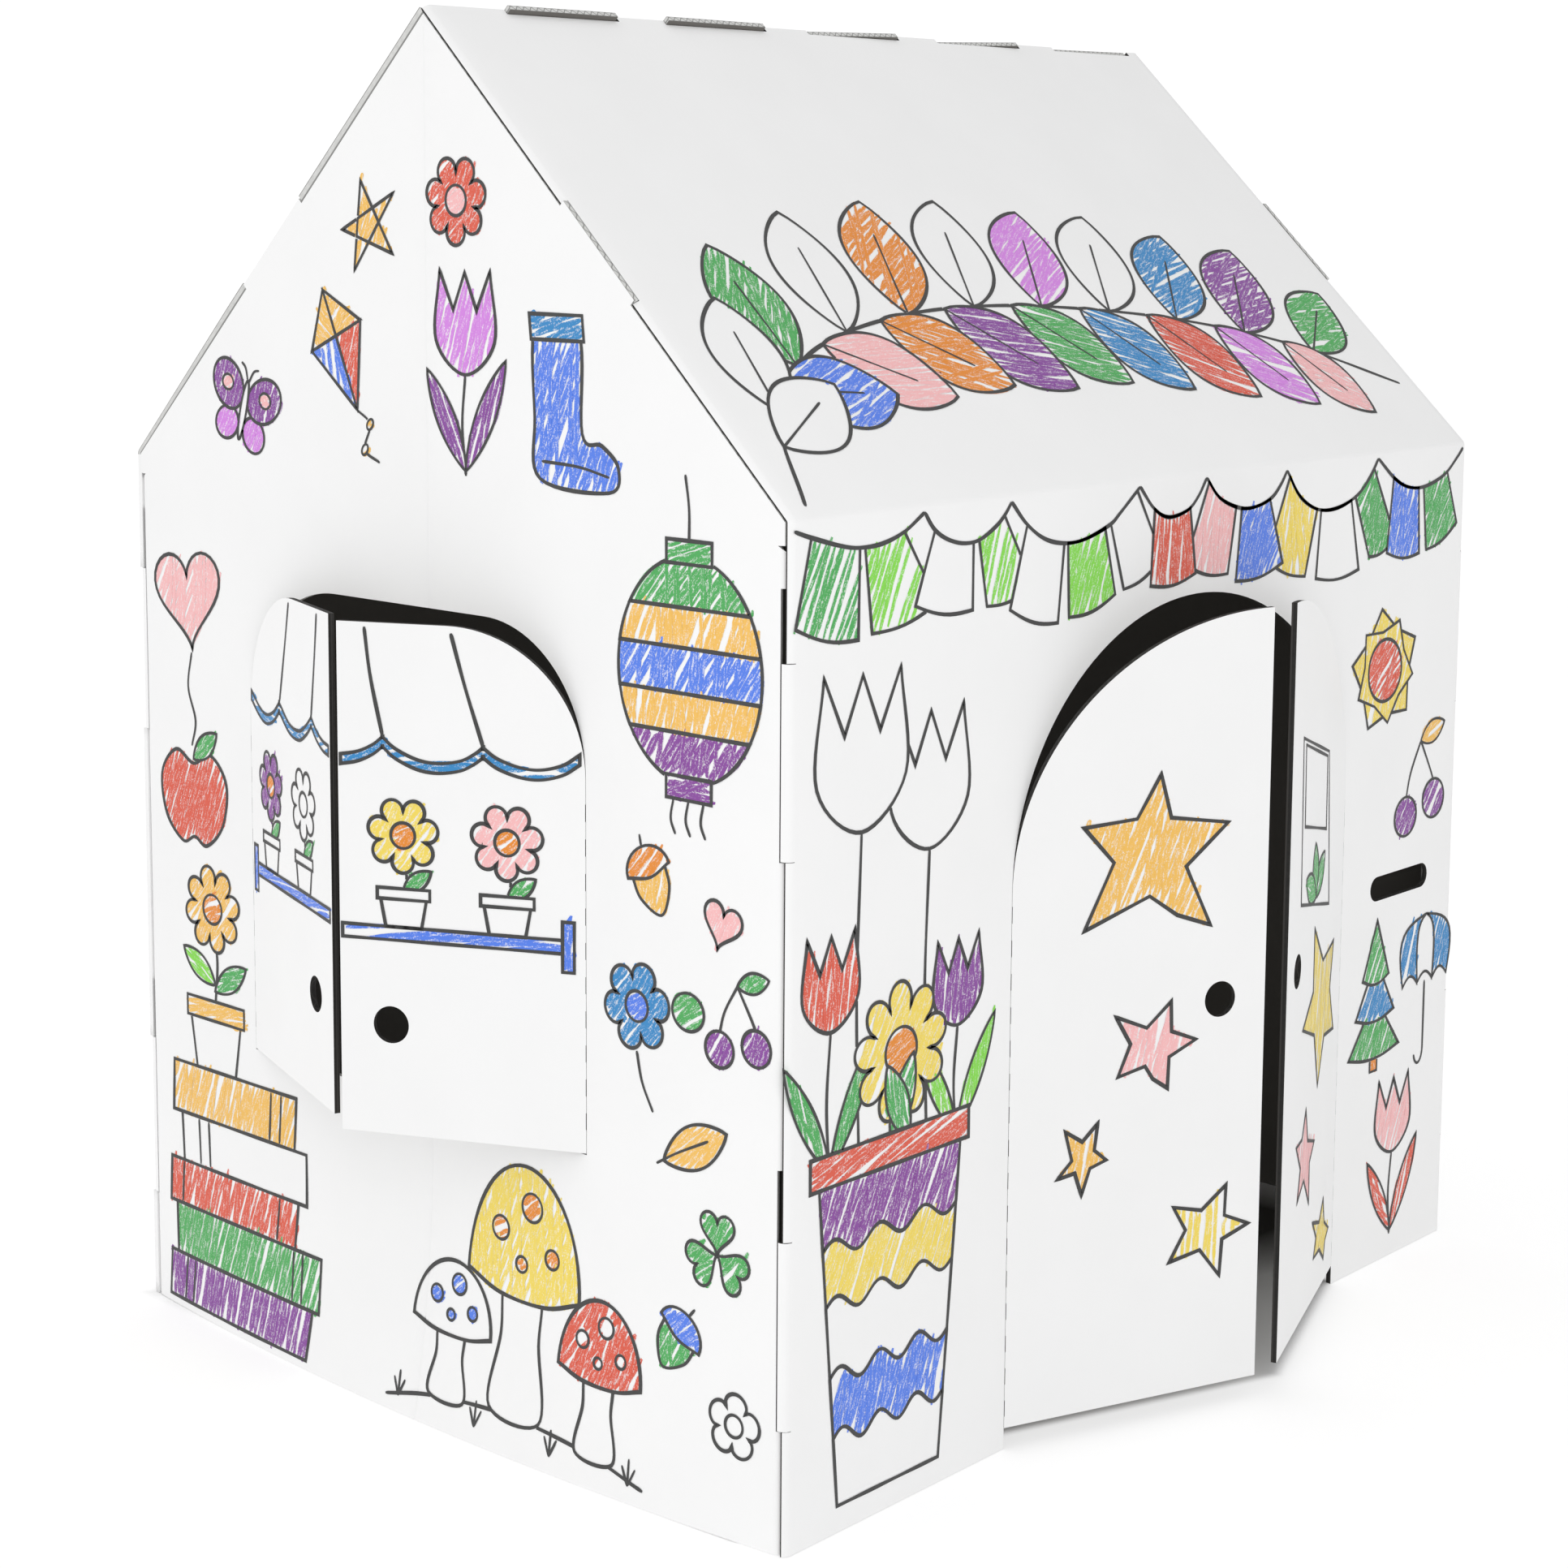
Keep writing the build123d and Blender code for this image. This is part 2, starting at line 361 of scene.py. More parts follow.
@dataclass(frozen=True)
class FloorPaper(Finish):
    """Seamless white backdrop paper that glows from below (painted light), with painted shade: no glow at the walls'
    feet and behind the doors, and dark under the roof.
    """

    shade: str
    # painted light: emission strength of the paper from below
    glow: float = 0.655
    fade: float = 15.0  # mm over which the painted light from below sets in; nearer the house it is painted shade
    dusk: float = 70.0  # mm over which the painted shade grows dark inside the house
    porch_light: float = 0.75  # share of the light that is left behind the doors, where the painted shade is weaker than inside the house
    lit_sill: float = 55.0  # mm behind the front wall's face that the painted light from below reaches, under the doors' feet
    door_lines: tuple[Triple, ...] = (  # lines with painted shade behind them: hinge in mm, way in degrees, gap in mm
        (-223.0, -21.0, 35.0),
        (287.0, 21.0, 10.0),
    )
    doorway: Triple = (32.0, 255.0, 100.0)  # box of painted shade before the doorway, in mm: middle, half width, reach before the front
    cloud: float = 500.0  # mm
    cloud_loss: float = 0.03

    def dress(self, tree: NodeTree, shader: Node) -> None:
        """Mixes the tones and the painted glow by the distance from the house's box, max(|x| - half length, |y| -
        half depth), and doors, painting shade near and inside them.

        Args:
            tree: The material's node tree.
            shader: Its principled shader.
        """
        sill = self.lit_sill * MM
        half_length, half_depth = HOUSE.length / 2 * MM, HOUSE.depth / 2 * MM
        spot = add_node(tree, "TexCoord").outputs["Object"]
        half_house = (half_length, half_depth - sill / 2, 0.0)
        from_house = self.distance(tree, spot, (0.0, HOUSE_MIDDLE_Y + sill / 2, 0.0), half_house)
        middle, half, reach = (size * MM for size in self.doorway)
        front = (half_depth + reach) / 2
        from_doors = self.distance(tree, spot, (middle, HOUSE_MIDDLE_Y - front, 0.0), (half, front, 0.0))
        for line in self.door_lines:
            before = self.before_door(tree, spot, *line)
            from_doors = add_node(tree, "Math", {0: from_doors, 1: before}, operation="MAXIMUM")
        away = add_node(tree, "Math", {0: from_house, 1: from_doors}, operation="MINIMUM")
        porch = add_node(tree, "Math", {0: from_doors, 1: 1 - self.porch_light}, operation="MULTIPLY")
        depth = add_node(tree, "Math", {0: from_house, 1: porch}, operation="MINIMUM")
        # Painted shade: the glow sets in only past the fade from the house and the doors; the shade tone darkens the
        # inside of the house and, weaker, the floor behind the doors.
        near = {"Value": away, "From Min": 0.0, "From Max": self.fade * MM}
        lit = add_node(tree, "MapRange", near, interpolation_type="SMOOTHSTEP")
        painted_shade_share = add_node(tree, "MapRange", {"Value": depth, "From Min": 0.0, "From Max": -self.dusk * MM})
        cloud = add_node(tree, "TexNoise", {"Vector": spot, "Scale": 1 / (self.cloud * MM)})
        share = add_node(
            tree, "Math", {0: cloud, 1: -self.cloud_loss, 2: lit}, operation="MULTIPLY_ADD", use_clamp=True
        )
        tones = {FACTOR: painted_shade_share, FIRST: self.paint(tree, shader, share), SECOND: linear(self.shade)}
        shaded = add_node(tree, "Mix", tones, data_type="RGBA").outputs[MIXED]
        glow = add_node(tree, "Math", {0: lit, 1: self.glow}, operation="MULTIPLY")
        tree.links.new(shaded, shader.inputs["Base Color"])
        tree.links.new(glow.outputs[0], shader.inputs["Emission Strength"])
        shader.inputs["Emission Color"].default_value = linear("#ffffff")

    @staticmethod
    def before_door(tree: NodeTree, spot: NodeSocket, hinge: float, way: float, gap: float) -> Node:
        """Adds the distance of a spot in front of a door's line, less than zero behind it.

        Args:
            tree: The material's node tree.
            spot: Socket with the place.
            hinge: Place of the door's hinge across the front, in mm.
            way: Angle of the door's line to the front, in degrees.
            gap: How far behind the door the line is, in mm.

        Returns:
            Node with the distance.
        """
        normal = (sin(radians(way)), -cos(radians(way)), 0.0)
        foot = (hinge * MM, HOUSE_MIDDLE_Y - HOUSE.depth / 2 * MM, 0.0)
        moved = add_node(tree, "VectorMath", {0: spot, 1: foot}, operation="SUBTRACT")
        along = add_node(tree, "VectorMath", {0: moved, 1: normal}, operation="DOT_PRODUCT").outputs["Value"]
        return add_node(tree, "Math", {0: along, 1: gap * MM}, operation="ADD")

    @staticmethod
    def distance(tree: NodeTree, spot: NodeSocket, middle: Place, half: Place) -> Node:
        """Adds the distance of a spot from a box on the floor, below zero inside it.

        Args:
            tree: The material's node tree.
            spot: Socket with the place.
            middle: Middle of the box.
            half: Half its size.

        Returns:
            Node with the distance.
        """
        moved = add_node(tree, "VectorMath", {0: spot, 1: middle}, operation="SUBTRACT")
        reach = add_node(tree, "VectorMath", {0: moved}, operation="ABSOLUTE")
        beyond = add_node(tree, "VectorMath", {0: reach, 1: half}, operation="SUBTRACT")
        part = add_node(tree, "SeparateXYZ", {0: beyond})
        return add_node(tree, "Math", {0: part.outputs["X"], 1: part.outputs["Y"]}, operation="MAXIMUM")


WHITE = "#f7f7f7"
OUTER_LINER = PaperLiner("clay_coated_white_liner", "#f2f2f2", WHITE, 0.5, 0.12)
# Inner faces of the walls: grey-back liner, kept dark so that the inside of the house reads dark, partly painted
# shade.
INNER_LINER = PaperLiner("recycled_grey_liner", "#625f5b", "#6d6a66", 0.85, 0.3)
# Inner faces of the doors and shutters: a lighter copy of the inner liner that glows, painted light that lifts the
# shade between them and the walls.
LEAF_LINER = PaperLiner("bleached_inner_liner", "#c6c5c2", "#cfcecb", 0.7, 0.2, 0.5)
CUT_EDGE = CutCardEdge("cut_corrugated_edge", "#e2e2e0", "#8f8f8d", 0.9)
# Near-black cut edges of the front sheet and the leaves: painted shade.
PAINTED_SHADE_EDGE = CutCardEdge("crush_cut_edge", "#1b1a19", "#3d3b39", 0.9)
INK = PrintedInk("flexo_printed_grey_ink", "#343434", "#454545", 0.6)
# Floor tones: paper without glow, darker paper under the painted glow, and the painted shade under the roof and
# behind the doors.
FLOOR = FloorPaper("seamless_backdrop_paper", "#fbfbfb", "#a6a6a6", 0.9, "#555350")


def to_row(points: Points) -> Points:
    """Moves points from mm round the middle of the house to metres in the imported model's frame."""
    return points * MM + np.array([0.0, HOUSE_MIDDLE_Y, 0.0])


def inside(points: Points, loop: Points) -> np.ndarray:
    """Tests points against a closed loop by the even-odd rule: the edges that a ray to the right crosses.

    Args:
        points: (n, 2) points.
        loop: (m, 2) corners of the loop.

    Returns:
        n booleans.
    """
    across, along = points[:, :1], points[:, 1:]
    start, end = loop, np.roll(loop, -1, axis=0)
    spans = (start[:, 1] > along) != (end[:, 1] > along)
    rise = end[:, 1] - start[:, 1]
    lean = (end[:, 0] - start[:, 0]) / np.where(rise == 0, 1.0, rise)
    crossing = start[:, 0] + (along - start[:, 1]) * lean
    return np.count_nonzero(spans & (across < crossing), axis=1) % 2 == 1


def spaced(line: Points, pitch: float, closed: bool) -> Points:
    """Adds points along straight runs so that none is longer than the pitch.

    Args:
        line: (n, 2) corners.
        pitch: Longest run.
        closed: Whether the last corner joins the first.

    Returns:
        (m, 2) points with every corner kept.
    """
    start = line if closed else line[:-1]
    end = np.roll(line, -1, axis=0) if closed else line[1:]
    steps = np.maximum(1, np.ceil(np.linalg.norm(end - start, axis=1) / pitch)).astype(int)
    run = np.repeat(np.arange(len(steps)), steps)
    share = (np.arange(steps.sum()) - np.repeat(np.cumsum(steps) - steps, steps)) / steps[run]
    points = start[run] + share[:, None] * (end - start)[run]
    return points if closed else np.vstack([points, line[-1:]])


def arc(centre: Place, radii: Place, start: float, end: float, count: int = 25) -> Points:
    """Points of an elliptical arc: centre + (radius x cos t, radius y sin t), from start to end in degrees."""
    turn = np.radians(np.linspace(start, end, count))
    return np.asarray(centre) + np.column_stack([radii[0] * np.cos(turn), radii[1] * np.sin(turn)])


def link_mesh(name: str, mesh: Mesh, finishes: Sequence[Finish], body: Body) -> Object:
    """Puts a mesh into the scene as a piece that rides on a body.

    Args:
        name: Name of the piece.
        mesh: Its mesh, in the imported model's frame.
        finishes: One finish for each material number.
        body: Body that carries it.

    Returns:
        The piece.
    """
    for finish in finishes:
        mesh.materials.append(finish.material())
    piece = bpy.data.objects.new(name, mesh)
    bpy.context.scene.collection.objects.link(piece)
    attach(piece, body.value)
    log.info("%s: %d faces on %s", name, len(mesh.polygons), body.value)
    return piece


@dataclass
class Blank:
    """Flat die-cut blank: outline, cut-outs and the score lines that the sheet bends along."""

    outline: Points
    holes: list[Points] = field(default_factory=list)
    scores: list[Points] = field(default_factory=list)
    pitch: float = 18.0

    def triangles(self) -> tuple[Points, np.ndarray]:
        """Cuts the blank into triangles whose corners lie on its edges, its score lines and a square grid.

        Returns:
            (n, 2) corners and (m, 3) triangles, anticlockwise seen from outside.
        """
        loops = [spaced(loop, self.pitch, True) for loop in (self.outline, *self.holes)]
        lines = [spaced(line, self.pitch, False) for line in self.scores]
        chains = [*loops, *lines]
        first = np.cumsum([0, *(len(chain) for chain in chains)])
        edges = []
        for number, chain in enumerate(chains):
            index = np.arange(len(chain)) + first[number]
            pairs = np.column_stack([index, np.roll(index, -1)])
            edges.append(pairs if number < len(loops) else pairs[:-1])
        low, high = self.outline.min(axis=0), self.outline.max(axis=0)
        columns = np.arange(low[0] + self.pitch / 2, high[0], self.pitch)
        rows = np.arange(low[1] + self.pitch / 2, high[1], self.pitch)
        grid = np.column_stack([side.ravel() for side in np.meshgrid(columns, rows)])
        corners = np.vstack([*chains, grid])
        made = delaunay_2d_cdt(list(map(Vector, corners.tolist())), np.vstack(edges).tolist(), [], 0, 1e-4, False)
        flat = np.array([tuple(corner) for corner in made[0]])
        faces = np.array(made[2])
        middle = flat[faces].mean(axis=1)
        kept = inside(middle, self.outline)
        for hole in self.holes:
            kept &= ~inside(middle, hole)
        used, faces = np.unique(faces[kept], return_inverse=True)
        flat, faces = flat[used], faces.reshape(-1, 3)
        edge_a, edge_b = flat[faces[:, 1]] - flat[faces[:, 0]], flat[faces[:, 2]] - flat[faces[:, 0]]
        area = edge_a[:, 0] * edge_b[:, 1] - edge_a[:, 1] * edge_b[:, 0]
        return flat, np.where(area[:, None] < 0, faces[:, ::-1], faces)


@dataclass
class CardSheet:
    """A sheet of single-wall card that is folded from its blank; each kind gives its own blank and folds."""

    node: str
    body: Body

    def blank(self) -> Blank:
        """Gives the flat blank."""
        raise NotImplementedError

    def place(self, flat: Points, depth: np.ndarray | float) -> Points:
        """Folds flat points into place.

        Args:
            flat: (n, 2) points of the blank.
            depth: Depth under the outer face, in mm; less than zero is above it.

        Returns:
            (n, 3) points in mm round the middle of the house.
        """
        raise NotImplementedError

    def pressed(self, flat: Points) -> np.ndarray:
        """Gives how far the outer face is pressed in at each point; a plain sheet isn't."""
        return np.zeros(len(flat))

    def painted_light_rim(self, flat: Points) -> np.ndarray:
        """Tells where edges and inner faces take the outer liner as painted light; on a plain sheet none do."""
        return np.zeros(len(flat), bool)

    def finishes(self) -> tuple[Finish, Finish, Finish]:
        """Gives the finishes of the outer face, the inner face and the cut edge."""
        return OUTER_LINER, INNER_LINER, CUT_EDGE

    def build(self) -> Object:
        """Makes the sheet: outer liner, inner liner and the cut edge that joins them along every rim.

        Returns:
            The piece, which replaces the CAD node.
        """
        flat, faces = self.blank().triangles()
        count = len(flat)
        corners = np.vstack([self.place(flat, self.pressed(flat)), self.place(flat, HOUSE.card)])
        sides = np.vstack([faces[:, [0, 1]], faces[:, [1, 2]], faces[:, [2, 0]]])
        _, first, uses = np.unique(np.sort(sides, axis=1), axis=0, return_index=True, return_counts=True)
        rim = sides[first[uses == 1]]
        band = np.column_stack([rim[:, 1], rim[:, 0], rim[:, 0] + count, rim[:, 1] + count])
        mesh = bpy.data.meshes.new(self.node + "_card")
        mesh.from_pydata(
            to_row(corners).tolist(), [], [*faces.tolist(), *(faces[:, ::-1] + count).tolist(), *band.tolist()]
        )
        # Edges and inner faces given the outer liner as painted light take material 0.
        inner = np.where(self.painted_light_rim(flat[faces].mean(axis=1)), 0, 1)
        edge = np.where(self.painted_light_rim(flat[rim].mean(axis=1)), 0, 2)
        number = np.concatenate([np.zeros(len(faces)), inner, edge]).astype(np.int32)
        mesh.polygons.foreach_set("material_index", number)
        mesh.polygons.foreach_set("use_smooth", number < 2)
        edges = np.empty(2 * len(mesh.edges), np.int32)
        mesh.edges.foreach_get("vertices", edges)
        keys = np.sort(edges.reshape(-1, 2), axis=1) @ np.array([2 * count, 1])
        rims = np.sort(np.vstack([rim, rim + count]), axis=1) @ np.array([2 * count, 1])
        mesh.edges.foreach_set("use_edge_sharp", np.isin(keys, rims))
        through = np.repeat([0.0, 1.0], count)
        blank = np.column_stack([np.vstack([flat, flat]), through]).astype(np.float32)
        mesh.attributes.new("blank", "FLOAT_VECTOR", "POINT").data.foreach_set("vector", blank.ravel())
        mesh.update()
        piece = link_mesh(self.node + "_card", mesh, self.finishes(), self.body)
        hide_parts(self.node)
        return piece


@dataclass
class FoldedSheet(CardSheet):
    """Wall and roof slope in one card, folded at the eave, with lips that turn round the corners."""

    side: Side = Side.FRONT
    doorway: Pair = (-223.0, 287.0)
    springing: float = 472.0
    door_rise: float = 223.0
    mail_slot: tuple[float, float, float, float] = (391.0, 377.0, 106.0, 24.0)
    ridge_tabs: tuple[float, ...] = (-406.5, -219.0, -31.5, 156.0, 343.5)
    ridge_tab_length: float = 125.0
    ridge_tab_stands: tuple[Pair, ...] = ((5, 5), (5, 4.5), (-1.5, 3.5), (-4, 3), (-3, -1))
    ridge_notch: float = 5.6
    ridge_setback: float = 5.5
    slide: float = 4.0
    slit: float = 0.5
    crushed_width: float = 6.0
    crushed_depth: float = 3.8
    swollen: float = 2.4
    swollen_from: float = 190.0
    lip_play: float = 1.0

    @property
    def edge(self) -> float:
        """Distance of a side edge from the middle."""
        return HOUSE.length / 2 - HOUSE.inset

    @property
    def bend(self) -> float:
        """Distance from the middle where a lip starts to turn."""
        return HOUSE.length / 2 - HOUSE.fold

    @property
    def fold_turn(self) -> float:
        """Angle of the eave fold."""
        return pi / 2 - HOUSE.pitch

    @property
    def fold_start(self) -> float:
        """Height on the blank where the eave fold starts."""
        return HOUSE.eave - HOUSE.fold * tan(self.fold_turn / 2)

    @property
    def fold_end(self) -> float:
        """Height on the blank where the slope starts."""
        return self.fold_start + HOUSE.fold * self.fold_turn

    @property
    def crest(self) -> float:
        """Height on the blank of the ridge line."""
        return self.fold_end + HOUSE.slope - HOUSE.fold * tan(self.fold_turn / 2)

    def in_lip(self, along: np.ndarray) -> np.ndarray:
        """Tells which heights on the blank lie within a lip."""
        feet = np.array(HOUSE.lip_feet)
        return ((along[:, None] > feet) & (along[:, None] < feet + HOUSE.lip_height)).any(axis=1)

    def place(self, flat: Points, depth: np.ndarray | float) -> Points:
        """Bends the wall over an arc of the fold's radius into the slope, and each lip round the corner likewise.

        Args:
            flat: (n, 2) points of the blank.
            depth: Depth under the outer face, in mm.

        Returns:
            (n, 3) points in mm round the middle of the house.
        """
        across, along = flat[:, 0], flat[:, 1]
        radius = HOUSE.fold - depth
        middle = HOUSE.depth / 2 - HOUSE.fold
        turn = np.clip((along - self.fold_start) / HOUSE.fold, 0, self.fold_turn)
        beyond = np.maximum(along - self.fold_end, 0)
        out = middle + radius * np.cos(turn) - beyond * cos(HOUSE.pitch)
        up = np.minimum(along, self.fold_start) + radius * np.sin(turn) + beyond * sin(HOUSE.pitch)
        reach = np.abs(across) - self.bend
        corner = np.clip(reach / HOUSE.fold, 0, pi / 2)
        lip = self.in_lip(along) & (reach > 0)
        lip_across = np.sign(across) * (self.bend + radius * np.sin(corner))
        lip_out = middle + radius * np.cos(corner) - np.maximum(reach - HOUSE.fold * pi / 2, 0)
        across = np.where(lip, lip_across, across)
        out = np.where(lip, lip_out, out)
        return np.column_stack([-self.side.value * across, self.side.value * out, up])

    def pressed(self, flat: Points) -> np.ndarray:
        """Crushes the front sheet's side edges over a quarter wave and springs the back slope's right edge open.

        Args:
            flat: (n, 2) points of the blank.

        Returns:
            How far the outer face is pressed in at each point, in mm.
        """
        if self.side is Side.BACK:
            share = np.clip((flat[:, 0] - self.edge) / self.crushed_width + 1, 0, 1)
            return -self.swollen * share * np.clip((flat[:, 1] - self.fold_end) / self.swollen_from, 0, 1)
        share = np.clip((np.abs(flat[:, 0]) - self.edge) / self.crushed_width + 1, 0, 1)
        return np.where(self.in_lip(flat[:, 1]), 0, self.crushed_depth * (1 - np.cos(share * pi / 2)))

    def painted_light_rim(self, flat: Points) -> np.ndarray:
        """Gives the back wall's side edges and the inner faces of its corner bends the outer liner: painted light in
        the corners' shade.
        """
        return (self.side is Side.BACK) & (np.abs(flat[:, 0]) > self.bend) & (flat[:, 1] < self.fold_start)

    def finishes(self) -> tuple[Finish, Finish, Finish]:
        """Gives the front sheet cut edges in the near-black tones of painted shade."""
        return OUTER_LINER, INNER_LINER, PAINTED_SHADE_EDGE if self.side is Side.FRONT else CUT_EDGE

    def right_edge(self) -> Points:
        """Gives the right edge of the blank: two lips between short slits, then the notch for the gable's tab.

        Returns:
            Corners going up.
        """
        play = self.lip_play if self.side is Side.FRONT else 0.0
        lip_end = self.bend + HOUSE.fold * pi / 2 + HOUSE.lip_end - HOUSE.fold - play
        corners = [(self.edge, 0.0)]
        for foot in HOUSE.lip_feet:
            head = foot + HOUSE.lip_height
            corners += [(self.edge, foot), (self.bend, foot), (self.bend, foot + self.slit)]
            corners += [(lip_end, foot + self.slit), (lip_end, head - self.slit)]
            corners += [(self.bend, head - self.slit), (self.bend, head), (self.edge, head)]
        low = self.crest - HOUSE.tab_start - HOUSE.tab_length - HOUSE.slot_gap
        high = self.crest - HOUSE.tab_start + HOUSE.slot_gap
        notch = HOUSE.length / 2 - HOUSE.card - HOUSE.slot_gap
        corners += [(self.edge, low), (notch, low), (notch, high), (self.edge, high)]
        return np.array(corners)

    def crest_edge(self) -> Points:
        """Gives the top edge of the blank: notches on the front sheet, standing tabs on the back one.

        Returns:
            Corners from right to left.
        """
        corners = []
        if self.side is Side.FRONT:
            floor = self.crest - self.ridge_notch
            corners.append((self.edge, self.crest))
            for start in reversed(self.ridge_tabs):
                left, right = start - HOUSE.slot_gap, start + self.ridge_tab_length + self.slide + HOUSE.slot_gap
                corners += [(right, self.crest), (right, floor), (left, floor), (left, self.crest)]
            corners.append((-self.edge, self.crest))
        else:
            foot = self.crest - self.ridge_setback
            corners.append((self.edge, foot))
            for start, (near, far) in zip(self.ridge_tabs, self.ridge_tab_stands):
                end = start + self.ridge_tab_length
                corners += [(-start, foot), (-start, self.crest + near), (-end, self.crest + far), (-end, foot)]
            corners.append((-self.edge, foot))
        return np.array(corners)

    def blank(self) -> Blank:
        """Gives the flat blank, with the doorway cut up from the foot of the front sheet.

        Returns:
            The blank.
        """
        right = self.right_edge()
        left = right[::-1] * (-1, 1)
        foot = np.empty((0, 2))
        holes = []
        if self.side is Side.FRONT:
            jamb_left, jamb_right = self.doorway
            half = (jamb_right - jamb_left) / 2
            arch = arc((jamb_left + half, self.springing), (half, self.door_rise), 180, 0, 61)
            foot = np.vstack([(jamb_left, 0), arch, (jamb_right, 0)])
            middle, level, length, height = self.mail_slot
            swing = (length - height) / 2
            round_ends = (
                arc((middle + swing, level), (height / 2,) * 2, -90, 90, 13),
                arc((middle - swing, level), (height / 2,) * 2, 90, 270, 13),
            )
            holes.append(np.vstack(round_ends))
        outline = np.vstack([foot, right, self.crest_edge(), left])
        scores = [
            np.array([(-self.edge, level), (self.edge, level)])
            for level in np.linspace(self.fold_start, self.fold_end, FOLD_LINES)
        ]
        for reach in np.linspace(0, 1, FOLD_LINES) * HOUSE.fold * pi / 2:
            for sign in (-1, 1):
                place = sign * (self.bend + reach)
                scores.append(np.array([(place, 0), (place, self.crest)]))
        return Blank(outline, holes, scores)


@dataclass
class Gable(CardSheet):
    """End wall with flaps folded in behind the walls, corner slots, roof tabs and a pressed centre crease."""

    end: End = End.WINDOW
    flap: float = 44.0
    flap_head: float = 780.0
    slot_depth: float = 17.0
    crease_depth: float = 0.6
    crease_width: float = 3.0
    flare: float = 0.0
    flare_height: float = 264.0
    window: tuple[float, float, float, float] = (-241.0, 187.0, 270.0, 695.0)
    window_corner: float = 119.0
    slit: float = 0.5

    @property
    def half(self) -> float:
        """Half the width over the flaps' outer faces."""
        return HOUSE.depth / 2 - HOUSE.card - HOUSE.fit_gap

    @property
    def bend(self) -> float:
        """Distance from the middle where a flap starts to turn."""
        return self.half - HOUSE.fold

    def place(self, flat: Points, depth: np.ndarray | float) -> Points:
        """Turns each flap round an arc of the fold's radius; the foot bellies out by flare (1 - y^2)(1 - z)^2.

        Args:
            flat: (n, 2) points of the blank.
            depth: Depth under the outer face, in mm.

        Returns:
            (n, 3) points in mm round the middle of the house.
        """
        across, along = flat[:, 0], flat[:, 1]
        reach = np.where(along < self.flap_head + self.slit / 2, np.abs(across) - self.bend, 0)
        turn = np.clip(reach / HOUSE.fold, 0, pi / 2)
        radius = HOUSE.fold - depth
        flat_reach = np.maximum(reach - HOUSE.fold * pi / 2, 0)
        turned = np.sign(across) * (self.bend + radius * np.sin(turn))
        inward = HOUSE.fold - radius * np.cos(turn) + flat_reach
        width = np.where(reach > 0, turned, across)
        belly = np.clip(1 - (width / self.bend) ** 2, 0, 1) * np.clip(1 - along / self.flare_height, 0, 1) ** 2
        out = HOUSE.length / 2 - inward + self.flare * belly
        return np.column_stack([self.end.value * out, self.end.value * width, along])

    def pressed(self, flat: Points) -> np.ndarray:
        """Gives the centre crease, a V that is deepest at the middle."""
        return self.crease_depth * np.clip(1 - np.abs(flat[:, 0]) / (self.crease_width / 2), 0, 1)

    def right_edge(self) -> Points:
        """Gives the right edge of the blank: flap with a slanted head, slit, roof edge and its standing tab.

        Returns:
            Corners going up to the apex.
        """
        fold_end = self.bend + HOUSE.fold * pi / 2
        flap_end = fold_end + self.flap - HOUSE.fold
        slant = self.flap_head - self.flap
        lean = np.array([cos(HOUSE.pitch), -sin(HOUSE.pitch)])
        inward = -(HOUSE.card + HOUSE.fit_gap) * np.array([sin(HOUSE.pitch), cos(HOUSE.pitch)])
        low = np.array([0, HOUSE.ridge]) + (HOUSE.tab_start + HOUSE.tab_length) * lean
        high = np.array([0, HOUSE.ridge]) + HOUSE.tab_start * lean
        apex = HOUSE.ridge - (HOUSE.card + HOUSE.fit_gap) / cos(HOUSE.pitch)
        flap = [(flap_end, 0), (flap_end, slant)]
        flap += [(fold_end, self.flap_head - HOUSE.fold), (self.bend, self.flap_head)]
        shoulder = [(self.half, self.flap_head + self.slit), (self.half, apex - self.half * tan(HOUSE.pitch))]
        return np.array([*flap, *shoulder, low + inward, low, high, high + inward, (0, apex)])

    def blank(self) -> Blank:
        """Gives the flat blank with the corner slots, and the window in the window gable.

        Returns:
            The blank.
        """
        right = self.right_edge()
        outline = np.vstack([right, right[-2::-1] * (-1, 1)])
        near = HOUSE.depth / 2 - HOUSE.lip_end - HOUSE.slot_gap
        far = self.bend + HOUSE.fold * pi / 2 + self.slot_depth - HOUSE.fold
        holes = []
        for foot in HOUSE.lip_feet:
            low, high = foot - HOUSE.slot_gap, foot - HOUSE.slot_gap + HOUSE.lip_height + HOUSE.lip_drop
            slot = np.array([(near, low), (far, low), (far, high), (near, high)])
            holes += [slot, slot * (-1, 1)]
        if self.end is End.WINDOW:
            left, right_side, sill, head = self.window
            corner = (self.window_corner,) * 2
            springing = head - self.window_corner
            head_right = arc((right_side - self.window_corner, springing), corner, 0, 90)
            head_left = arc((left + self.window_corner, springing), corner, 90, 180)
            holes.append(np.vstack([[(left, sill), (right_side, sill)], head_right, head_left]))
        scores = [
            np.array([(place, 0), (place, HOUSE.ridge)])
            for place in (-self.crease_width / 2, 0.0, self.crease_width / 2)
        ]
        for reach in np.linspace(0, HOUSE.fold * pi / 2, FOLD_LINES):
            for sign in (-1, 1):
                place = sign * (self.bend + reach)
                scores.append(np.array([(place, 0), (place, self.flap_head)]))
        return Blank(outline, holes, scores)


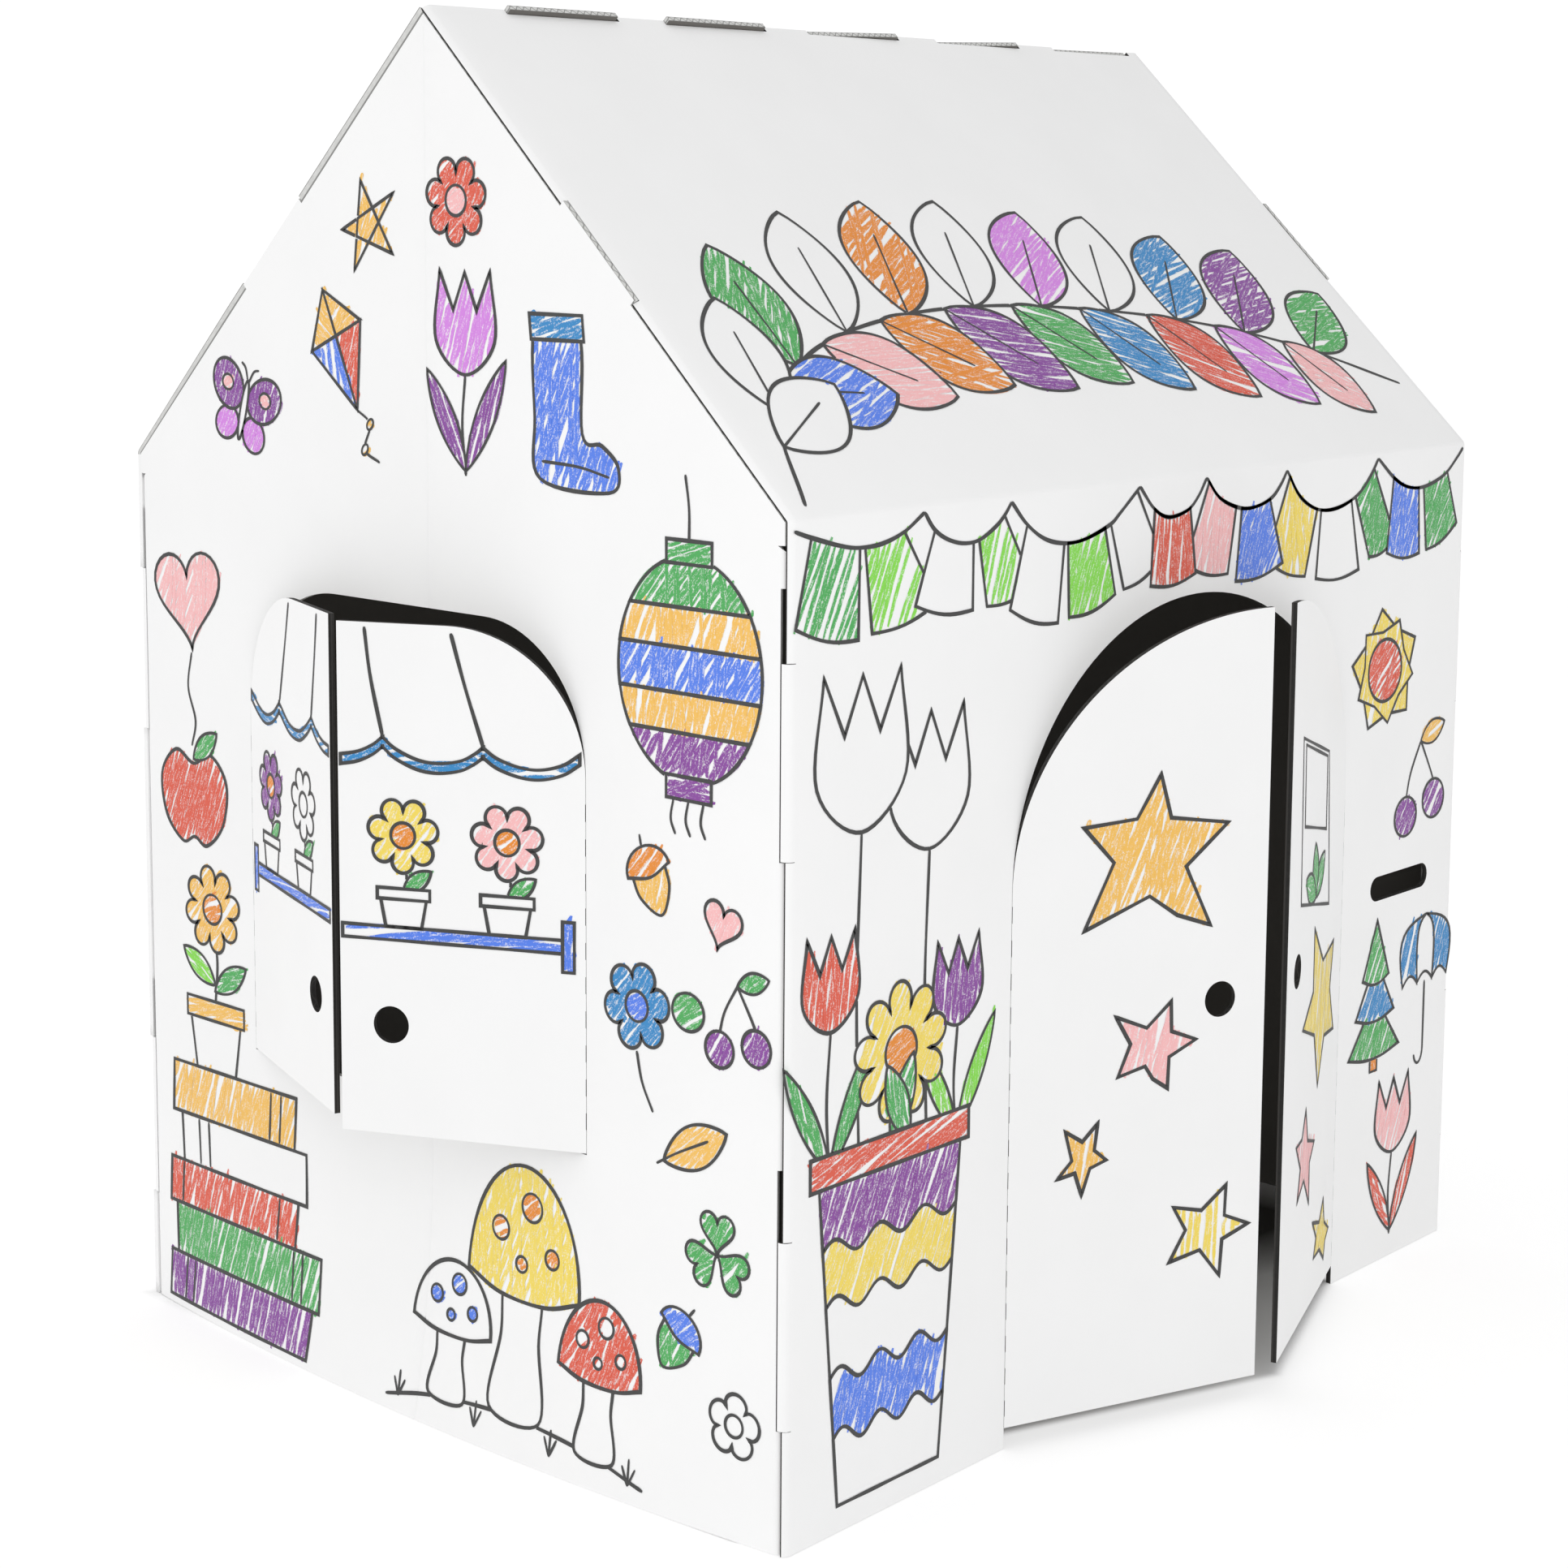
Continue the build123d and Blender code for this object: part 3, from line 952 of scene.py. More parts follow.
@dataclass
class Leaf(CardSheet):
    """Door or shutter: a flap of its wall, drawn shut on the wall's blank and turned about its crease."""

    wall: CardSheet = None
    hinge: float = 0.0
    swing: float = 0.0
    hand: Hand = Hand.LEFT
    width: float = 255.0
    hole: Pair = (208.0, 360.0)
    hole_radius: float = 15.5
    slit_length: float = 14.0
    slit_depth: float = 0.4
    slit_pitch: float = 28.0

    def shut(self, reach_along: Points) -> Points:
        """Turns (distance from the crease, height) into points of the wall's blank."""
        return np.column_stack([self.hinge + self.hand.value * reach_along[:, 0], reach_along[:, 1]])

    def place(self, flat: Points, depth: np.ndarray | float) -> Points:
        """Places points as on the shut leaf, then turns them about the crease by the swing.

        Args:
            flat: (n, 2) points of the wall's blank.
            depth: Depth under the outer face, in mm.

        Returns:
            (n, 3) points in mm round the middle of the house.
        """
        pivot = self.wall.place(np.array([[self.hinge, self.wall_level()]]), 0.0) * (1, 1, 0)
        turn = radians(self.swing) * -self.hand.value
        spin = np.array([[cos(turn), -sin(turn), 0], [sin(turn), cos(turn), 0], [0, 0, 1]])
        return (self.wall.place(flat, depth) - pivot) @ spin.T + pivot

    def wall_level(self) -> float:
        """Height at which the crease's place is read from the wall."""
        return self.hole[1]

    def crease(self, low: float, high: float) -> Points:
        """Gives the crease edge with its row of slits.

        Args:
            low: Height of its foot.
            high: Height of its head.

        Returns:
            Corners going down, as (distance from the crease, height).
        """
        count = int((high - low) // self.slit_pitch)
        centres = (low + high) / 2 + self.slit_pitch * (np.arange(count)[::-1] - (count - 1) / 2)
        half = self.slit_length / 2
        step = np.array([(0, half), (self.slit_depth, half), (self.slit_depth, -half), (0, -half)])
        return (np.column_stack([np.full(count, HOUSE.fit_gap), centres])[:, None] + step).reshape(-1, 2)

    def finishes(self) -> tuple[Finish, Finish, Finish]:
        """Gives the leaf an inner face with painted light and cut edges with painted shade."""
        return OUTER_LINER, LEAF_LINER, PAINTED_SHADE_EDGE

    def outline(self) -> Points:
        """Outline as (distance from the crease, height)."""
        raise NotImplementedError

    def blank(self) -> Blank:
        """Gives the leaf's blank with its finger hole, in the wall's flat coordinates."""
        hole = arc(self.hole, (self.hole_radius,) * 2, 0, 360, 41)[:-1]
        return Blank(self.shut(self.outline()), [self.shut(hole)])


@dataclass
class Door(Leaf):
    """Half of the arched double door."""

    foot: float = 18.0
    springing: float = 472.0
    rise: float = 223.0

    def outline(self) -> Points:
        """Goes round by the foot, the free edge, a quarter of the arch's ellipse and the crease.

        Returns:
            Corners as (distance from the crease, height).
        """
        free = self.width - HOUSE.kerf / 2
        radii = (self.width - HOUSE.fit_gap, self.rise - HOUSE.kerf)
        arch = arc((self.width, self.springing), radii, 90, 180, 41)[1:]
        crown = (free, self.springing + radii[1])
        foot = [(HOUSE.fit_gap, self.foot), (free, self.foot), crown]
        return np.vstack([foot, arch, self.crease(self.foot, self.springing)])


@dataclass
class Shutter(Leaf):
    """Half of the window's shutters."""

    foot: float = 271.2
    head: float = 693.8
    corner: float = 117.8

    def outline(self) -> Points:
        """Goes round by the foot, the free edge, the head with its outer corner rounded and the crease.

        Returns:
            Corners as (distance from the crease, height).
        """
        free = self.width - HOUSE.kerf / 2
        springing = self.head - self.corner
        round_corner = arc((HOUSE.fit_gap + self.corner, springing), (self.corner,) * 2, 90, 180)
        foot = [(HOUSE.fit_gap, self.foot), (free, self.foot), (free, self.head)]
        return np.vstack([foot, round_corner, self.crease(self.foot, springing)])


def oval(centre: Place, radii: Place, tilt: float = 0.0) -> Points:
    """Closed ellipse turned by the tilt in degrees: centre + R(tilt) (rx cos t, ry sin t)."""
    return turned(arc((0, 0), radii, 0, 360, 49)[:-1], tilt) + np.asarray(centre)


def turned(points: Points, tilt: float) -> Points:
    """Turns points about zero, anticlockwise by the tilt in degrees."""
    angle = radians(tilt)
    return points @ np.array([[cos(angle), sin(angle)], [-sin(angle), cos(angle)]])


def polar(angle: np.ndarray, reach: np.ndarray) -> Points:
    """Points by their angles in radians and their distances from zero."""
    return np.column_stack([reach * np.cos(angle), reach * np.sin(angle)])


def star(centre: Place, radius: float, tilt: float, waist: float) -> Points:
    """Five-pointed star: radius at even corners and waist times the radius at odd ones, every 36 degrees."""
    corner = np.arange(10)
    return np.asarray(centre) + polar(np.radians(90 + tilt + 36 * corner), radius * np.where(corner % 2, waist, 1))


def petals(centre: Place, count: int, inner: float, outer: float, tilt: float) -> Points:
    """Round-petalled flower: radius inner + (outer - inner) sqrt|cos(count t / 2)| at angle t.

    Args:
        centre: Middle of the flower.
        count: Number of petals.
        inner: Radius between two petals.
        outer: Radius at a petal's tip.
        tilt: Turn of the flower in degrees.

    Returns:
        Closed loop.
    """
    angle = np.linspace(0, 2 * pi, 24 * count, endpoint=False)
    reach = inner + (outer - inner) * np.sqrt(np.abs(np.cos(count * angle / 2)))
    return turned(polar(angle, reach), tilt) + np.asarray(centre)


def almond(base: Place, length: float, width: float, tilt: float) -> Points:
    """Leaf from its base along the tilt: half width (width / 2) sin(pi t)^0.8 at share t of the length.

    Args:
        base: Where the leaf starts.
        length: Length to its tip.
        width: Width at the middle.
        tilt: Way that it points, in degrees from the right.

    Returns:
        Closed loop.
    """
    share = np.linspace(0, 1, 25)
    half = width / 2 * np.sin(pi * share).clip(0) ** 0.8
    upper = np.column_stack([share * length, half])
    lower = np.column_stack([share * length, -half])[-2:0:-1]
    return turned(np.vstack([upper, lower]), tilt) + np.asarray(base)


def heart(centre: Place, size: float, tilt: float) -> Points:
    """Heart: (16 sin^3 t, 13 cos t - 5 cos 2t - 2 cos 3t - cos 4t) scaled to the size.

    Args:
        centre: Middle of the heart.
        size: Width over all.
        tilt: Turn in degrees.

    Returns:
        Closed loop.
    """
    angle = np.linspace(0, 2 * pi, 48, endpoint=False)
    rise = 13 * np.cos(angle) - 5 * np.cos(2 * angle) - 2 * np.cos(3 * angle) - np.cos(4 * angle)
    shape = np.column_stack([16 * np.sin(angle) ** 3, rise]) * size / 32
    return turned(shape, tilt) + np.asarray(centre)


def curve(corners: Sequence[Place], closed: bool = False, count: int = 10) -> Points:
    """Smooth line through corners: a Catmull-Rom cubic between each pair.

    Args:
        corners: Points that the line passes.
        closed: Whether it returns to the first.
        count: Points on each cubic.

    Returns:
        (n, 2) points.
    """
    knots = np.asarray(corners, float)
    if closed:
        padded = np.vstack([knots[-1:], knots, knots[:2]])
    else:
        padded = np.vstack([2 * knots[0] - knots[1], knots, 2 * knots[-1] - knots[-2]])
    a, b, c, d = (padded[i : len(padded) - 3 + i, None] for i in range(4))
    t = np.linspace(0, 1, count, endpoint=False)[None, :, None]
    cubic = 2 * b + (c - a) * t + (2 * a - 5 * b + 4 * c - d) * t**2 + (3 * b - a - 3 * c + d) * t**3
    line = (cubic / 2).reshape(-1, 2)
    return line if closed else np.vstack([line, knots[-1:]])


def crossing(start: Points, end: Points, other_start: Points, other_end: Points) -> Points:
    """Point where two lines cross: start + s (end - start) with s from the two line equations."""
    ways = np.column_stack([end - start, other_start - other_end])
    return start + np.linalg.solve(ways, other_start - start)[0] * (end - start)


def box_loop(left: float, foot: float, right: float, head: float, lean: float = 0.0) -> Points:
    """Rectangle by its sides, its head moved across by the lean."""
    return np.array([(left, foot), (right, foot), (right + lean, head), (left + lean, head)], float)


@dataclass
class Mark:
    """One shape of a drawing: a line or a loop in mm, with the crayon that fills it."""

    line: Points
    closed: bool
    wax: Fill
    pen: float
    slant: float = 0.0
    light: bool = False


@dataclass(frozen=True)
class CrayonHand:
    """How a hand rubs a crayon, in mm and degrees; what is uneven is given by its standard deviation or share."""

    width: float = 4.4
    width_spread: float = 0.14
    gap: float = 4.1
    light_gap: float = 1.35  # times the gap where it is rubbed lightly
    gap_stray: float = 0.28
    coat_turn: float = 14.0
    turn_spread: float = 7.0
    lean_spread: float = 0.035
    step: float = 1.2
    margin: Pair = (2.0, 3.0)
    overrun: Pair = (0.3, 1.5)  # mean and deviation past the line
    slip_share: float = 0.08
    slip: float = 5.0
    shortest: float = 4.0
    missed: float = 0.05  # shares of the strokes that are left out
    light_missed: float = 0.2
    second_missed: float = 0.55
    sway: float = 0.9
    shake: float = 0.2
    tip: tuple[float, ...] = (0.5, 0.93, 1.0, 1.0, 1.0, 0.93, 0.45)  # width along a stroke
    noise_step: Triple = (7.3, 31.7, 11.1)  # between strokes, marks and coats
    layers: tuple[int, int] = (3, 4)  # heights that rows of strokes and marks take in turn


@dataclass
class Picture:
    """Drawing on one sheet: ink lines and crayon, later marks in front of earlier ones."""

    name: str
    sheet: CardSheet
    seed: int
    coloured: bool = True
    marks: list[Mark] = field(default_factory=list)
    hand: CrayonHand = CrayonHand()
    ink_lift: float = 0.34
    wax_lift: float = 0.10
    lift_step: float = 0.008
    ink_step: float = 2.2
    mitre_limit: float = 0.9
    pen_swell: float = 0.12
    pen_pace: float = 0.13
    pen_taper: Pair = (0.6, 2.0)  # steps from a line's end: where its tip starts, over how many it widens
    ink_layers: int = 8  # heights that the ink lines take in turn

    def loop(self, line: Points, wax: Fill, slant: float, pen: float, light: bool = False) -> None:
        """Adds a closed shape, with its crayon, the way that it was rubbed, its line's width and how hard."""
        self.marks.append(Mark(np.asarray(line, float), True, wax if self.coloured else None, pen, slant, light))

    def path(self, line: Points, pen: float) -> None:
        """Adds an open line of a given width."""
        self.marks.append(Mark(np.asarray(line, float), False, None, pen))

    def in_front(self, number: int) -> list[Points]:
        """Finds what is drawn over a mark.

        Args:
            number: Which mark.

        Returns:
            The loops drawn after it that reach into its box.
        """
        low, high = self.marks[number].line.min(axis=0), self.marks[number].line.max(axis=0)
        return [
            mark.line
            for mark in self.marks[number + 1 :]
            if mark.closed and (mark.line.min(axis=0) < high).all() and (mark.line.max(axis=0) > low).all()
        ]

    def ink_ribbon(self, number: int) -> Strip:
        """Widens a mark's line to both sides along its mitres and drops what lies behind later loops.

        Args:
            number: Which mark.

        Returns:
            The widened line.
        """
        mark = self.marks[number]
        line = spaced(mark.line, self.ink_step, mark.closed)
        ahead = np.roll(line, -1, axis=0) - line
        if not mark.closed:
            ahead[-1] = ahead[-2]
        ahead /= np.linalg.norm(ahead, axis=1, keepdims=True) + TINY
        behind = np.roll(ahead, 1, axis=0)
        if not mark.closed:
            behind[0] = ahead[0]
        middle = ahead + behind
        length = np.linalg.norm(middle, axis=1, keepdims=True)
        side = np.column_stack([-middle[:, 1], middle[:, 0]]) / (length + TINY)
        mitre = side * 2 / length.clip(self.mitre_limit)
        step = np.arange(len(line))
        half = mark.pen / 2 * (1 + self.pen_swell * np.sin(self.pen_pace * step + number))
        if not mark.closed:
            tip = np.minimum(step, len(line) - 1 - step)
            half = half * np.sqrt(np.clip((tip + self.pen_taper[0]) / self.pen_taper[1], 0, 1))
        shown = np.ones(len(line), bool)
        for loop in self.in_front(number):
            shown &= ~inside(line, loop)
        here = step if mark.closed else step[:-1]
        there = (here + 1) % len(line)
        here, there = here[shown[here] & shown[there]], there[shown[here] & shown[there]]
        count = len(line)
        quads = np.column_stack([here + count, there + count, there, here])
        flat = np.vstack([line + mitre * half[:, None], line - mitre * half[:, None]])
        return flat, np.full(2 * count, self.ink_lift + self.lift_step * (number % self.ink_layers)), quads

    def crayon_strokes(self, number: int, coat: int, rng: np.random.Generator) -> tuple[Strip, Points]:
        """Rubs a loop with near parallel strokes: runs of a turned grid that fall inside it, with loose ends.

        Args:
            number: Which mark.
            coat: Zero for the first rub, one for the second, which crosses it.
            rng: Source of the hand's unevenness.

        Returns:
            The strokes, and the place of each corner on its stroke.
        """
        mark, hand = self.marks[number], self.hand
        slant = mark.slant + hand.coat_turn * coat + rng.normal(0, hand.turn_spread)
        local = turned(mark.line, -slant)
        low, high = local.min(axis=0), local.max(axis=0)
        gap = hand.gap * (hand.light_gap if mark.light else 1.0)
        rows = np.arange(low[1] + 1, high[1], gap)
        rows = rows + rng.uniform(-hand.gap_stray, hand.gap_stray, len(rows)) * gap
        columns = np.arange(low[0] - hand.margin[0], high[0] + hand.margin[1], hand.step)
        lean = rng.normal(0, hand.lean_spread, len(rows))
        level = rows[:, None] + lean[:, None] * (columns - columns.mean())
        grid = np.stack([np.broadcast_to(columns, level.shape), level], axis=-1).reshape(-1, 2)
        grid = turned(grid, slant)
        rubbed = inside(grid, mark.line)
        for loop in self.in_front(number):
            rubbed &= ~inside(grid, loop)
        change = np.diff(np.pad(rubbed.reshape(level.shape).astype(int), ((0, 0), (1, 1))), axis=1)
        row, first = np.nonzero(change == 1)
        last = np.nonzero(change == -1)[1] - 1
        start = columns[first] - rng.normal(*hand.overrun, len(row))
        end = columns[last] + rng.normal(*hand.overrun, len(row))
        end = end + np.where(rng.random(len(row)) < hand.slip_share, hand.slip, 0)
        missed = (hand.light_missed if mark.light else hand.missed, hand.second_missed)[coat]
        kept = (end - start > hand.shortest) & (rng.random(len(row)) > missed)
        row, start, end = row[kept], start[kept], end[kept]
        count = len(hand.tip)
        share = np.linspace(0, 1, count)
        across = start[:, None] + (end - start)[:, None] * share
        sway = rng.normal(0, hand.sway, len(row))[:, None] * 4 * share * (1 - share)
        sway = sway + rng.normal(0, hand.shake, across.shape)
        along = rows[row][:, None] + lean[row][:, None] * (across - columns.mean()) + sway
        half = hand.width / 2 * (1 + rng.normal(0, hand.width_spread, len(row)))[:, None] * np.array(hand.tip)
        corners = np.stack([np.stack([across, along + half], -1), np.stack([across, along - half], -1)], axis=2)
        flat = turned(corners.reshape(-1, 2), slant)
        row_layers, mark_layers = hand.layers
        layer = mark_layers * (row_layers * coat + row % row_layers) + number % mark_layers
        lift = np.repeat(self.wax_lift + self.lift_step * layer, 2 * count)
        base = (np.arange(len(row))[:, None] * count + np.arange(count - 1)).ravel() * 2
        quads = np.column_stack([base + 1, base + 3, base + 2, base])
        stroke = np.empty((*across.shape, 2, 3))
        stroke[..., 0] = (across - start[:, None])[..., None]
        stroke[..., 1] = (1, -1)
        by_stroke, by_mark, by_coat = hand.noise_step
        stroke[..., 2] = (by_stroke * np.arange(len(row)) + by_mark * number + by_coat * coat)[:, None, None]
        return (flat, lift, quads), stroke.reshape(-1, 3)

    def draw(self) -> None:
        """Adds the drawing's marks from the back to the front."""
        raise NotImplementedError

    def build(self) -> None:
        """Draws the marks, then makes the ink piece and the crayon piece."""
        self.draw()
        self.piece("ink_lines", [self.ink_ribbon(number) for number in range(len(self.marks))], [INK])
        waxes = sorted({mark.wax for mark in self.marks if mark.wax}, key=lambda wax: wax.name)
        if not waxes:
            return
        rng = np.random.default_rng(self.seed)
        strips, places, numbers = [], [], []
        for number, mark in enumerate(self.marks):
            for coat in range((1 if mark.light else 2) if mark.wax else 0):
                strip, place = self.crayon_strokes(number, coat, rng)
                strips.append(strip)
                places.append(place)
                numbers += [waxes.index(mark.wax)] * len(strip[2])
        finishes = [WaxCrayon(f"rubbed_wax_crayon_{wax.name.lower()}", WHITE, wax.value, 0.5) for wax in waxes]
        mesh = self.piece("crayon", strips, finishes).data
        mesh.polygons.foreach_set("material_index", numbers)
        stroke = mesh.attributes.new("stroke", "FLOAT_VECTOR", "POINT")
        stroke.data.foreach_set("vector", np.vstack(places).astype(np.float32).ravel())

    def piece(self, kind: str, strips: Sequence[Strip], finishes: Sequence[Finish]) -> Object:
        """Lays flat strips on the sheet and makes them one piece.

        Args:
            kind: What the piece is, for its name.
            strips: Strips of ink or wax.
            finishes: Finishes of the piece.

        Returns:
            The piece.
        """
        flat = np.vstack([strip[0] for strip in strips])
        lift = np.concatenate([strip[1] for strip in strips])
        first = np.cumsum([0, *(len(strip[0]) for strip in strips)])
        faces = np.vstack([strip[2] + start for strip, start in zip(strips, first)])
        used, faces = np.unique(faces, return_inverse=True)
        corners = to_row(self.sheet.place(flat[used], -lift[used]))
        name = f"{self.name}_{kind}"
        mesh = bpy.data.meshes.new(name)
        mesh.from_pydata(corners.tolist(), [], faces.reshape(-1, 4).tolist())
        mesh.update()
        return link_mesh(name, mesh, finishes, self.sheet.body)


@dataclass
class Bunting:
    """Scallops along the eave with flags hung below them: corners from the top left, clockwise."""

    scallops: tuple[Line, ...] = (
        ((-491, 791), (-472, 785), (-438, 776), (-417, 773), (-391, 774), (-365, 781), (-341, 794)),
        ((-341, 794), (-329, 780), (-313, 771), (-293, 766), (-273, 767), (-252, 776), (-240, 785), (-232, 794)),
        ((-232, 794), (-212, 775), (-188, 761), (-161, 755), (-133, 756), (-99, 765), (-84, 774), (-56, 794)),
        ((-56, 794), (-35, 774), (-13, 765), (15, 769), (31, 780), (43, 795)),
        ((43, 795), (64, 776), (95, 765), (121, 764), (146, 770), (161, 781), (171, 793)),
        ((171, 793), (191, 770), (214, 757), (238, 752), (266, 754), (294, 763), (314, 778), (328, 794)),
        ((328, 794), (359, 773), (386, 763), (417, 762), (452, 771), (475, 786), (486, 795)),
    )
    flags: tuple[tuple[Line, Fill], ...] = (
        (((-411, 773), (-365, 781), (-324, 722), (-402, 706)), Wax.LIME),
        (((-273, 767), (-241, 784), (-203, 725), (-262, 713)), Wax.LIME),
        (((-97, 765), (-60, 790), (-22, 731), (-77, 709)), None),
        (((47, 790), (90, 766), (79, 708), (13, 722)), Wax.PINK),
        (((176, 786), (223, 754), (205, 694), (140, 715)), Wax.YELLOW),
        (((289, 761), (321, 786), (362, 716), (316, 702)), Wax.GREEN),
        (((-472, 785), (-417, 773), (-418, 703), (-489, 718)), Wax.GREEN),
        (((-328, 779), (-280, 766), (-280, 712), (-351, 722)), None),
        (((-211, 774), (-161, 755), (-168, 690), (-232, 707)), None),
        (((-156, 755), (-105, 763), (-89, 706), (-153, 693)), Wax.LIME),
        (((-34, 773), (19, 771), (29, 713), (-38, 708)), Wax.RED),
        (((99, 765), (144, 769), (167, 710), (92, 700)), Wax.ROYAL),
        (((230, 753), (282, 759), (298, 692), (224, 690)), None),
        (((357, 774), (404, 762), (408, 698), (348, 703)), Wax.ROYAL),
        (((413, 762), (457, 773), (478, 722), (421, 700)), Wax.GREEN),
    )
    light: tuple[int, ...] = (0, 1, 6)  # flags that are rubbed lightly
    slants: tuple[float, ...] = (66.0, 78.0, 54.0)
    sag: float = 5.0

    def draw(self, picture: Picture) -> None:
        """Draws the flags from behind, each with a sagging foot, then the scallops over them.

        Args:
            picture: Drawing that gets them.
        """
        for number, (corners, wax) in enumerate(self.flags):
            top_left, top_right, foot_right, foot_left = np.array(corners, float)
            share = np.linspace(0, 1, 11)
            across = np.linspace(top_right[0], top_left[0], 11)
            head = np.column_stack([across, self.height(across)])
            foot = foot_left + np.outer(share, foot_right - foot_left) - np.outer(np.sin(pi * share), (0, self.sag))
            slant = self.slants[number % len(self.slants)]
            picture.loop(np.vstack([foot, head]), wax, slant, 3.0, number in self.light)
        for scallop in self.scallops:
            picture.path(curve(scallop), 3.4)

    def height(self, across: np.ndarray) -> np.ndarray:
        """Height of the scallops at places across."""
        line = np.vstack([curve(scallop) for scallop in self.scallops])
        return np.interp(across, line[:, 0], line[:, 1])


@dataclass
class Garland:
    """Branch of large oval leaves on the lower roof slope: (share along the branch, length, width, turn, crayon)."""

    eave: float
    branch: Line = (
        (-470, 8), (-430, 96), (-345, 158), (-220, 192), (-80, 202), (70, 192), (210, 170), (340, 134), (462, 78),
    )
    upper: tuple[tuple[float, float, float, float, Fill], ...] = (
        (0.10, 122, 76, 34, None),
        (0.17, 134, 80, 62, Wax.GREEN),
        (0.26, 140, 84, 66, None),
        (0.35, 142, 86, 64, Wax.ORANGE),
        (0.44, 140, 84, 66, None),
        (0.53, 136, 84, 64, Wax.LILAC),
        (0.62, 140, 86, 66, None),
        (0.71, 134, 84, 64, Wax.BLUE),
        (0.80, 138, 86, 66, Wax.PURPLE),
        (0.89, 118, 74, 62, Wax.GREEN),
    )
    lower: tuple[tuple[float, float, float, float, Fill], ...] = (
        (0.06, 120, 72, -36, None),
        (0.13, 126, 78, -44, Wax.ROYAL),
        (0.22, 132, 82, -48, Wax.PINK),
        (0.31, 134, 84, -46, Wax.ORANGE),
        (0.40, 138, 88, -48, Wax.PURPLE),
        (0.49, 130, 80, -46, Wax.GREEN),
        (0.58, 128, 78, -48, Wax.BLUE),
        (0.67, 130, 82, -46, Wax.RED),
        (0.76, 124, 78, -44, Wax.LILAC),
        (0.85, 112, 70, -40, Wax.PINK),
    )
    sight: float = 8.0  # mm ahead along the branch that gives a leaf's way
    rub_share: float = 0.6  # share of a leaf's turn that its strokes take back
    rib_share: float = 0.7  # share of a leaf's length that its midrib has

    def draw(self, picture: Picture) -> None:
        """Draws the branch, then its leaves from the far end to the near one, each with its midrib.

        Args:
            picture: Drawing that gets them.
        """
        line = curve(self.branch) + (0, self.eave)
        picture.path(line, 3.6)
        reach = np.concatenate([[0], np.cumsum(np.linalg.norm(np.diff(line, axis=0), axis=1))])
        for above, below in zip(reversed(self.upper), reversed(self.lower)):
            for share, length, width, turn, wax in (above, below):
                base, ahead = (
                    np.array([np.interp(share * reach[-1] + step, reach, side) for side in line.T])
                    for step in (0, self.sight)
                )
                tilt = np.degrees(atan2(*(ahead - base)[::-1])) + turn
                picture.loop(almond(base, length, width, tilt), wax, tilt - self.rub_share * turn, 3.3)
                rib = np.linspace(0, self.rib_share, 9) * length
                picture.path(base + np.outer(rib, (cos(radians(tilt)), sin(radians(tilt)))), 2.2)


def draw_tulip(picture: Picture, foot: Place, height: float, size: float, wax: Fill, leaf: Fill) -> None:
    """Draws a tulip: stem, two leaves and a cup of three petals.

    Args:
        picture: Drawing that gets it.
        foot: Foot of the stem.
        height: Height over all.
        size: Height of the cup.
        wax: Crayon of the cup.
        leaf: Crayon of the leaves; there are none without it.
    """
    x, y = foot
    head = y + height - size
    picture.path(curve([(x, y), (x - 4, y + (head - y) / 2), (x, head)]), 3.0)
    if leaf is not None:
        picture.loop(almond((x, y + 4), 0.62 * height, 0.26 * size, 62), leaf, 70, 2.6)
        picture.loop(almond((x, y + 4), 0.56 * height, 0.26 * size, 120), leaf, 110, 2.6)
    bowl = ((-0.86, 1), (-1, 0.32), (0, 0), (1, 0.32), (0.86, 1))
    teeth = ((0.4, 0.62), (0, 0.98), (-0.4, 0.62))
    scale = (size * 0.42, size)
    cup = np.vstack([curve(np.array(bowl) * scale + (x, head), count=8), np.array(teeth) * scale + (x, head)])
    picture.loop(cup, wax, 72, 3.2)


def draw_daisy(picture: Picture, centre: Place, radius: float, wax: Fill, heart_wax: Fill, count: int = 8) -> None:
    """Draws a flower seen from the front: a ring of petals and a round middle."""
    picture.loop(petals(centre, count, 0.62 * radius, radius, 12), wax, 48, 3.0)
    picture.loop(oval(centre, (0.34 * radius, 0.34 * radius)), heart_wax, 30, 2.6)


def draw_toadstool(picture: Picture, foot: Place, height: float, width: float, cap: Fill, spot: Fill) -> None:
    """Draws a toadstool: bulging stem, domed cap and spots.

    Args:
        picture: Drawing that gets it.
        foot: Foot of the stem.
        height: Height over all.
        width: Width of the cap.
        cap: Crayon of the cap.
        spot: Crayon of the spots.
    """
    x, y = foot
    rim = y + 0.52 * height
    stem = 0.17 * width
    sides = [(x - 1.3 * stem, y), (x + 1.3 * stem, y), (x + stem, y + 0.3 * height), (x + 0.9 * stem, rim)]
    picture.loop(curve([*sides, (x - 0.9 * stem, rim), (x - stem, y + 0.3 * height)], True), None, 80, 3.0)
    dome = arc((x, rim), (width / 2, y + height - rim), 0, 180, 31)
    sag = rim - 0.06 * height
    brim = curve([(x - width / 2, rim), (x - 0.2 * width, sag), (x + 0.2 * width, sag), (x + width / 2, rim)])
    picture.loop(np.vstack([dome, brim[1:-1]]), cap, 64, 3.4)
    for across, along, size in ((-0.22, 0.2, 0.075), (0.06, 0.32, 0.09), (0.25, 0.14, 0.06), (-0.02, 0.08, 0.05)):
        picture.loop(oval((x + across * width, rim + along * height), (size * width,) * 2), spot, 40, 2.4)


